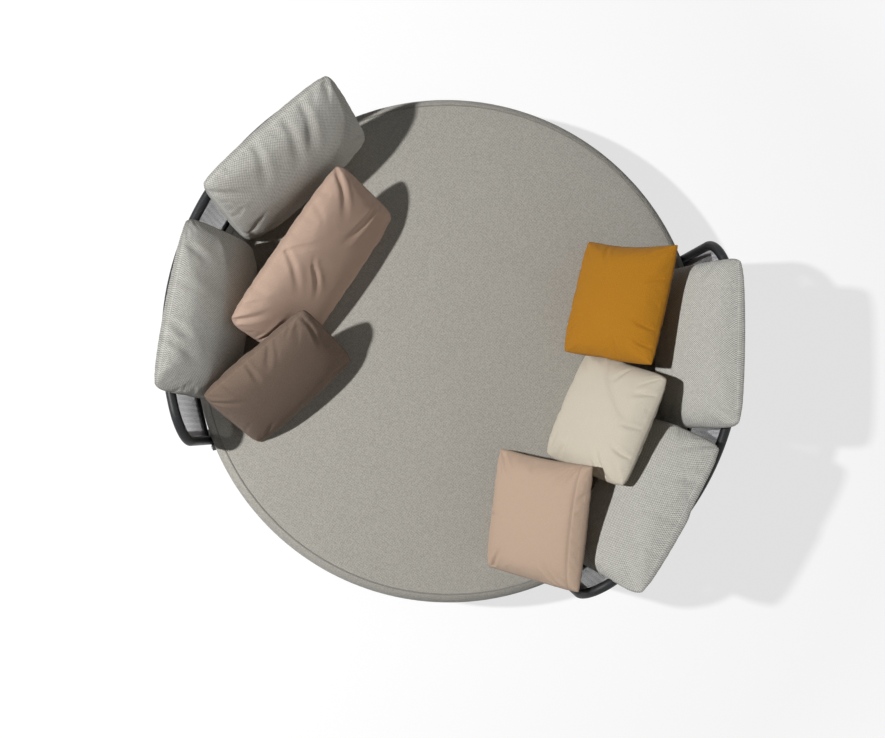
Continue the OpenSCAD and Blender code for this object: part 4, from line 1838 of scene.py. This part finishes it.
    @staticmethod
    def _outwards(points: FloatArray, faces: IntArray) -> FloatArray:
        """Unit normal of every point: the sum of the cross products of its faces' diagonals.

        Args:
            points: Rows of three.
            faces: Quads turned outwards.

        Returns:
            Rows of three.
        """
        p = points[faces]
        area = np.cross(p[:, 2] - p[:, 0], p[:, 3] - p[:, 1])
        total = np.zeros_like(points)
        for corner in range(4):
            np.add.at(total, faces[:, corner], area)
        return total / (np.linalg.norm(total, axis=1, keepdims=True) + 1e-12)


@dataclass(frozen=True)
class BackPlace:
    """Place of a back cushion.

    Attributes:
        side: End of the daybed.
        row: Upper or lower cushion of that end.
        facing: Direction of its back, in degrees.
        direction: Direction of its middle, in degrees.
        gap_share: Share of the rear crown that it stands off the top rail.
        slide: How far its filling has slid sideways.
        flop: How far its top edge bends back over the rail.
    """

    side: Side
    row: str
    facing: float
    direction: float
    gap_share: float
    slide: float = 0.0
    flop: float = 0.0


BACK_FOLDS: dict[tuple[Side, str], tuple[Fold, ...]] = {
    (Side.EAST, "upper"): (
        Fold((-0.66, 0.97), (-0.60, 0.30), 0.018, 0.006),
        Fold((-0.15, 0.98), (-0.10, 0.45), 0.018, 0.006),
        Fold((0.14, 0.98), (0.28, 0.45), 0.016, 0.008),
        Fold((0.97, 0.93), (0.55, 0.40), 0.016, 0.008),
        Fold((-0.98, 0.60), (-0.60, 0.20), 0.018, 0.006),
        Fold((0.55, -0.10), (0.20, 0.20), 0.020, 0.004),
    ),
    (Side.EAST, "lower"): (
        Fold((-0.50, 0.98), (-0.28, 0.40), 0.018, 0.007),
        Fold((0.05, 0.98), (0.12, 0.45), 0.018, 0.006),
        Fold((0.97, 0.95), (0.58, 0.45), 0.016, 0.008),
        Fold((-0.97, 0.90), (-0.62, 0.40), 0.016, 0.008),
        Fold((0.50, 0.98), (0.45, 0.50), 0.016, 0.005),
    ),
    (Side.WEST, "upper"): (
        Fold((0.24, 0.97), (-0.04, 0.15), 0.018, 0.008),
        Fold((0.52, 0.97), (0.19, 0.22), 0.018, 0.009),
        Fold((0.97, 0.90), (0.80, -0.19), 0.013, 0.010),
        Fold((-0.22, 0.97), (-0.48, 0.30), 0.018, 0.007),
        Fold((-0.97, 0.85), (-0.60, 0.30), 0.016, 0.006),
        Fold((0.02, 0.98), (0.10, 0.55), 0.014, 0.005),
    ),
    (Side.WEST, "lower"): (
        Fold((0.72, 0.97), (0.52, 0.52), 0.015, 0.008),
        Fold((-0.20, 0.97), (-0.50, 0.55), 0.018, 0.007),
        Fold((-0.40, 0.98), (-0.62, 0.40), 0.018, 0.006),
        Fold((0.95, 0.35), (0.55, 0.05), 0.018, 0.006),
        Fold((0.25, 0.98), (0.18, 0.50), 0.018, 0.005),
    ),
}

PILLOW_FOLDS: dict[str, tuple[Fold, ...]] = {
    "peach": (
        Fold((-0.04, 0.98), (-0.34, 0.25), 0.011, 0.010),
        Fold((0.00, 0.40), (-0.24, -0.15), 0.010, 0.011),
        Fold((-0.08, 0.97), (0.22, 0.45), 0.011, 0.007),
        Fold((-0.98, 0.95), (-0.68, 0.50), 0.012, 0.009),
        Fold((-0.80, 0.98), (-0.60, 0.70), 0.009, 0.006),
        Fold((0.92, 0.92), (0.55, 0.30), 0.014, 0.008),
        Fold((0.85, -0.25), (0.30, 0.08), 0.014, 0.006),
        Fold((-0.97, 0.20), (-0.55, 0.05), 0.012, 0.006),
    ),
    "brown": (
        Fold((-0.19, 0.97), (-0.25, 0.50), 0.010, 0.009),
        Fold((0.90, 0.93), (0.77, 0.05), 0.010, 0.009),
        Fold((0.25, 0.96), (-0.11, 0.60), 0.011, 0.006),
        Fold((-0.65, 0.95), (-0.45, 0.25), 0.012, 0.006),
        Fold((-0.96, 0.80), (-0.60, 0.40), 0.011, 0.006),
    ),
    "ochre": (
        Fold((0.46, 0.98), (0.30, 0.50), 0.009, 0.0112),
        Fold((0.74, 0.97), (0.60, 0.52), 0.009, 0.0112),
        Fold((-0.41, 0.98), (-0.30, 0.55), 0.011, 0.0084),
        Fold((0.66, -0.90), (0.30, -0.40), 0.011, 0.0084),
        Fold((0.98, 0.35), (0.60, 0.20), 0.010, 0.0084),
        Fold((-0.97, -0.40), (-0.50, -0.20), 0.012, 0.0056),
    ),
    "cream": (
        Fold((-0.64, 0.98), (-0.50, 0.55), 0.010, 0.0098),
        Fold((0.00, 0.98), (0.05, 0.55), 0.010, 0.0084),
        Fold((0.54, 0.98), (0.40, 0.55), 0.009, 0.0112),
        Fold((0.96, 0.62), (0.50, 0.28), 0.011, 0.0098),
        Fold((-0.97, 0.30), (-0.55, 0.10), 0.011, 0.0070),
        Fold((0.95, -0.55), (0.55, -0.25), 0.010, 0.0084),
    ),
    "beige": (
        Fold((-0.97, 0.70), (-0.55, 0.40), 0.011, 0.0070),
        Fold((0.97, 0.60), (0.58, 0.36), 0.011, 0.0084),
        Fold((0.95, -0.80), (0.50, -0.45), 0.011, 0.0084),
        Fold((-0.93, -0.80), (-0.50, -0.40), 0.012, 0.0070),
        Fold((0.10, -0.97), (0.05, -0.55), 0.012, 0.0056),
    ),
}


@dataclass(frozen=True)
class PillowPlace:
    """Size and place of a throw pillow.

    Attributes:
        colour: Its colour, which also names its solid and its finish.
        width: Width of its cover.
        height: Height of its cover.
        lean: Lean from upright, in degrees.
        facing: Direction of its back, in degrees.
        roll: Turn in its own plane, in degrees.
        share: Distance of its middle from the mattress's, as a share of the mattress's radius.
        direction: Direction of its middle, in degrees.
        fill: Fullness, from 0 to 1.
        corner: How far its corners are rounded off, as a share of half its width.
        dent: How much farther one side is drawn in.
        band: Distance of a sewn line from its top edge, if it has one.
        SHARED: Names of the values that its cushion takes as they are.
    """

    colour: str
    width: float
    height: float
    lean: float
    facing: float
    roll: float
    share: float
    direction: float
    fill: float
    corner: float
    dent: float = 0.0
    band: float | None = None

    SHARED = (
        "width", "height", "lean", "facing", "roll", "direction", "fill", "corner", "dent", "band",
    )


PILLOWS: tuple[PillowPlace, ...] = (
    PillowPlace("peach", 0.800, 0.446, 39.8, 167.0, 1.0, 0.597, 173.3, 0.55, 0.060),
    PillowPlace("brown", 0.553, 0.427, 40.0, 151.0, 4.0, 0.666, 213.1, 0.55, 0.045),
    PillowPlace("ochre", 0.517, 0.487, 40.0, 10.4, -2.9, 0.645, 35.6, 0.7, 0.022, 0.085),
    PillowPlace("cream", 0.496, 0.496, 36.0, 1.3, -4.2, 0.630, -5.4, 0.65, 0.055),
    PillowPlace("beige", 0.523, 0.493, 44.0, 21.8, -8.9, 0.729, -43.4, 0.7, 0.022, 0.045, 0.046),
)

BACK_CUSHIONS: tuple[BackPlace, ...] = (
    BackPlace(Side.EAST, "upper", 19.5, 20.4, 0.45),
    BackPlace(Side.EAST, "lower", -9.0, -19.2, 0.98, 0.0, 0.055),
    BackPlace(Side.WEST, "upper", 154.5, 155.0, 0.35, 0.034, -0.015),
    BackPlace(Side.WEST, "lower", 191.6, 195.4, 0.36),
)


@dataclass
class SoftFurnishings:
    """The four back cushions and the five throw pillows.

    Attributes:
        mattress: Mattress that they lie on.
        backrest: Backrest whose sizes place the back cushions.
        solids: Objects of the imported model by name.
        near: Distance within which two of them are neighbours.
        pillow_crown: Crown of both skins of a pillow.
    """

    mattress: Mattress
    backrest: Backrest
    solids: dict[str, bpy.types.Object]
    near: float = 0.12
    pillow_crown: float = 0.082

    def back_cushions(self) -> list[Cushion]:
        """Sizes and places of the back cushions: the rear crown stands off the top rail, and the
        seam's plane leans back through that place.

        Returns:
            The four cushions.
        """
        width, height, front, rear, bow, lean = 0.700, 0.500, 0.152, 0.045, 0.040, 21.0
        cosine, tangent = math.cos(math.radians(lean)), math.tan(math.radians(lean))
        drop = self.backrest.rail_z - self.mattress.seat_z - height / 2 * cosine
        rail_inside = self.backrest.rail_r - self.backrest.tube_r
        made = []
        for number, place in enumerate(BACK_CUSHIONS):
            label = place.side.label
            seam_at_rail = rail_inside - rear * (1 + place.gap_share) / cosine
            made.append(
                Cushion(
                    name=f"{label}_{place.row}_back_cushion_cover",
                    node=f"{label}_back_cushion_{place.row}",
                    body=f"{label}_cushion_{place.row}",
                    cover="back_cushion_cover",
                    width=width,
                    height=height,
                    front=front,
                    rear=rear,
                    lean=lean,
                    facing=place.facing,
                    roll=0.0,
                    distance=seam_at_rail - drop * tangent,
                    direction=place.direction,
                    sag=0.38,
                    bow=bow,
                    fill=0.75,
                    filling=Filling(pressure=2.6, cap=0.026),
                    folds=BACK_FOLDS[(place.side, place.row)],
                    slide=place.slide,
                    flop=place.flop,
                    seed=1.7 * number,
                )
            )
        return made

    def pillows(self) -> list[Cushion]:
        """Sizes and places of the throw pillows.

        Returns:
            The five pillows.
        """
        return [
            Cushion(
                name=f"{place.colour}_pillow_cover",
                node=f"{place.colour}_pillow",
                body=place.colour,
                cover=f"{place.colour}_cover",
                front=self.pillow_crown,
                rear=self.pillow_crown,
                distance=place.share * self.mattress.outer_r,
                seed=2.9 * number,
                folds=PILLOW_FOLDS[place.colour],
                **{name: getattr(place, name) for name in PillowPlace.SHARED},
            )
            for number, place in enumerate(PILLOWS)
        ]

    def settle_neighbours(self, made: list[Cushion]) -> None:
        """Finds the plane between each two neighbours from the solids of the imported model: it
        stands halfway between the two nearest points, square to the line between them.

        Args:
            made: All cushions and pillows.
        """
        clouds = [(cushion, self.solid_points(cushion.node)) for cushion in made]
        for (one, first), (other, second) in combinations(clouds, 2):
            apart = np.linalg.norm(first[:, None, :] - second[None, :, :], axis=2)
            a, b = np.unravel_index(int(apart.argmin()), apart.shape)
            if apart[a, b] > self.near:
                continue
            normal = (second[b] - first[a]) / apart[a, b]
            low, high = float((first @ normal).max()), float((second @ normal).min())
            point = normal * (low + high) / 2
            LOG.info("%s meets %s: %.1f mm apart", one.name, other.name, (high - low) * 1000)
            one.presses.append(Touch(point, normal))
            other.presses.append(Touch(point, -normal))

    def solid_points(self, node: str) -> FloatArray:
        """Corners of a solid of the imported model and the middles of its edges.

        Args:
            node: Name of the solid.

        Returns:
            Rows of three.
        """
        mesh = self.solids[node].data
        points = np.empty(len(mesh.vertices) * 3, np.float32)
        mesh.vertices.foreach_get("co", points)
        edges = np.empty(len(mesh.edges) * 2, np.int32)
        mesh.edges.foreach_get("vertices", edges)
        points = points.reshape(-1, 3).astype(float)
        middles = points[edges.reshape(-1, 2)].mean(axis=1)
        return np.unique(np.round(np.concatenate([points, middles]), 5), axis=0)

    def build(self, finishes: Finishes) -> None:
        """Builds every cushion and pillow.

        Args:
            finishes: All finishes.
        """
        made = self.back_cushions() + self.pillows()
        self.settle_neighbours(made)
        for cushion in made:
            cushion.build(finishes, self.mattress)


# Carried-over solids, studio and camera


@dataclass(frozen=True)
class HardParts:
    """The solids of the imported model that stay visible.

    Attributes:
        rules: Each finish with the words in a solid's name that ask for it. The first rule holds.
    """

    rules: tuple[tuple[str, tuple[str, ...]], ...] = (
        ("rubber", ("glides", "plugs")),
        ("zinc_steel", ("inserts", "bolts", "nuts", "screws")),
        ("slat_wood", ("slat",)),
        ("coated_steel", ("base_frame", "leg", "rail", "brackets")),
    )

    def dress(self, nodes: dict[str, bpy.types.Object], finishes: Finishes) -> None:
        """Dresses every solid whose name a rule meets.

        Args:
            nodes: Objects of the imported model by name.
            finishes: All finishes.
        """
        for name, solid in nodes.items():
            meets = (slot for slot, words in self.rules if any(word in name for word in words))
            finish = next(meets, None)
            if finish is not None:
                finishes.dress_solid(solid, finish)
        LOG.info("%d solids of the packed model checked for a finish", len(nodes))


@dataclass
class Studio:
    """Floor, lamp, surrounding light and camera.

    Attributes:
        lamp_at: Place of the lamp.
        lamp_size: Width of its square face.
        lamp_share: Irradiance of the lamp on the floor, as a share of a plain level.
        fill: Strength of the surrounding light.
        bounce: Strength that it has more from the side across from the lamp, low down.
        bounce_from: Direction of the middle of that side.
        floor_albedo: Colour of the floor in linear numbers.
        floor_glow: What the floor adds for the camera.
        floor_half: Half the width of the floor.
        floor_fade: Distances from the middle between which the floor's glow rises to white.
        camera_at: Place of the camera.
        nadir: Direction of the point below the camera, in the camera's own frame.
        turn: Turn of the picture about Z, in degrees.
        lens: Focal length in millimetres on a sensor of sensor_width.
        sensor_width: Width of the sensor in millimetres.
    """

    lamp_at: tuple[float, float, float] = (-5.11, -1.73, 6.71)
    lamp_size: float = 0.28
    lamp_share: float = 0.82
    fill: float = 0.06
    bounce: float = 0.72
    bounce_from: tuple[float, float, float] = (0.92, -0.05, 0.28)
    floor_albedo: float = 0.31
    floor_glow: float = 0.70
    floor_half: float = 20.0
    floor_fade: tuple[float, float] = (2.3, 6.5)
    camera_at: tuple[float, float, float] = (-0.1223, -0.5349, 5.0)
    nadir: tuple[float, float, float] = (-0.0584, -0.0759, -1.0)
    turn: float = 21.5
    lens: float = 43.06
    sensor_width: float = 36.0

    def camera(self) -> None:
        """Places the camera: it looks almost straight down, tilted so that the point below it lies
        at the nadir's direction in the picture, and turned about Z."""
        data = bpy.data.cameras.new("view_from_above")
        data.lens, data.sensor_width = self.lens, self.sensor_width
        camera = bpy.data.objects.new("view_from_above", data)
        show(camera)
        down = Vector(self.nadir).normalized()
        tilt = down.rotation_difference(Vector((0.0, 0.0, -1.0))).to_matrix()
        pose = Matrix.Rotation(math.radians(self.turn), 3, "Z") @ tilt
        camera.matrix_world = Matrix.Translation(self.camera_at) @ pose.to_4x4()
        bpy.context.scene.camera = camera

    def lamp(self) -> None:
        """Places the lamp, aimed at the mattress. Its power gives the wished irradiance there: pi
        times the share, over the cosine of its slant, times pi times its distance squared."""
        data = bpy.data.lights.new("softbox", "AREA")
        data.shape, data.size = "SQUARE", self.lamp_size
        place, aim = Vector(self.lamp_at), Vector((0.0, 0.0, 0.35))
        way = aim - place
        cosine = -way.normalized().z
        data.energy = math.pi * self.lamp_share / cosine * math.pi * way.length_squared
        lamp = bpy.data.objects.new("softbox", data)
        show(lamp)
        aimed = way.to_track_quat("-Z", "Y").to_matrix().to_4x4()
        lamp.matrix_world = Matrix.Translation(place) @ aimed

    @staticmethod
    def _seen(desk: NodeDesk) -> bpy.types.NodeSocket:
        """Gives 1 for rays from the camera, a mirror or a glass, and 0 for others.

        Args:
            desk: Desk of the world or of a material.

        Returns:
            The share's socket.
        """
        path = desk.add("ShaderNodeLightPath")
        some = desk.maths("MAXIMUM", path.outputs["Is Camera Ray"], path.outputs["Is Glossy Ray"])
        return desk.maths("MAXIMUM", some, path.outputs["Is Transmission Ray"])

    def world(self) -> None:
        """Lights the scene evenly, with more from the side across from the lamp: the cosine to that
        side's middle, mapped from its lower limit up. Plain white shows where nothing stands."""
        world = bpy.data.worlds.new("studio")
        bpy.context.scene.world = world
        world.use_nodes = True
        desk = NodeDesk(world.node_tree)
        world.node_tree.nodes.clear()
        light, white = desk.add("ShaderNodeBackground"), desk.add("ShaderNodeBackground")
        light.inputs["Color"].default_value = white.inputs["Color"].default_value = WHITE
        aim = desk.add("ShaderNodeVectorMath", operation="DOT_PRODUCT")
        desk.feed(aim.inputs[0], desk.add("ShaderNodeTexCoord").outputs["Generated"])
        aim.inputs[1].default_value = Vector(self.bounce_from).normalized()
        lobe = desk.span(aim.outputs["Value"], 0.55, 1.0, 0.0, self.bounce)
        desk.feed(light.inputs["Strength"], desk.maths("ADD", lobe, self.fill))
        white.inputs["Strength"].default_value = 1.0
        mixer, out = desk.add("ShaderNodeMixShader"), desk.add("ShaderNodeOutputWorld")
        desk.feed(mixer.inputs[0], self._seen(desk))
        desk.feed(mixer.inputs[1], light.outputs[0])
        desk.feed(mixer.inputs[2], white.outputs[0])
        desk.feed(out.inputs[0], mixer.outputs[0])

    def floor(self) -> None:
        """Lays the floor: a flat square grid whose colour keeps the object's shadow. Away from the
        object its glow rises until it is white, so that no horizon shows."""
        side = np.linspace(-self.floor_half, self.floor_half, 9)
        x, y = np.meshgrid(side, side, indexing="xy")
        points = np.stack([x.ravel(), y.ravel(), np.full(x.size, -0.0002)], axis=1)
        floor = mesh_piece("studio_floor", points, [grid_quads(9, 9)])
        material = bpy.data.materials.new("studio_floor")
        material.use_nodes = True
        desk = NodeDesk(material.node_tree)
        material.node_tree.nodes.clear()
        matt, glow = desk.add("ShaderNodeBsdfDiffuse"), desk.add("ShaderNodeEmission")
        matt.inputs["Color"].default_value = (self.floor_albedo,) * 3 + (1.0,)
        glow.inputs["Color"].default_value = WHITE
        length = desk.add("ShaderNodeVectorMath", operation="LENGTH")
        desk.feed(length.inputs[0], desk.body())
        faded = desk.span(length.outputs["Value"], *self.floor_fade, self.floor_glow, 1.0)
        desk.feed(glow.inputs["Strength"], desk.maths("MULTIPLY", self._seen(desk), faded))
        both, out = desk.add("ShaderNodeAddShader"), desk.add("ShaderNodeOutputMaterial")
        desk.feed(both.inputs[0], matt.outputs[0])
        desk.feed(both.inputs[1], glow.outputs[0])
        desk.feed(out.inputs[0], both.outputs[0])
        floor.data.materials.append(material)

    def build(self) -> None:
        """Builds the whole studio."""
        bpy.context.scene.view_settings.view_transform = "Standard"
        self.camera()
        self.lamp()
        self.world()
        self.floor()


def main() -> None:
    """Builds the studio and the daybed's sub-assemblies in order."""
    logging.basicConfig(level=logging.INFO, format="%(name)s: %(message)s")
    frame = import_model()
    Studio().build()
    finishes = Finishes()
    HardParts().dress(frame["nodes"], finishes)
    backrests = [Backrest(side) for side in Side]
    for backrest in backrests:
        backrest.build(finishes)
    mattress = Mattress()
    mattress.build(finishes)
    SoftFurnishings(mattress, backrests[0], frame["nodes"]).build(finishes)
    LOG.info("boxes written")


if __name__ == "__main__":
    main()
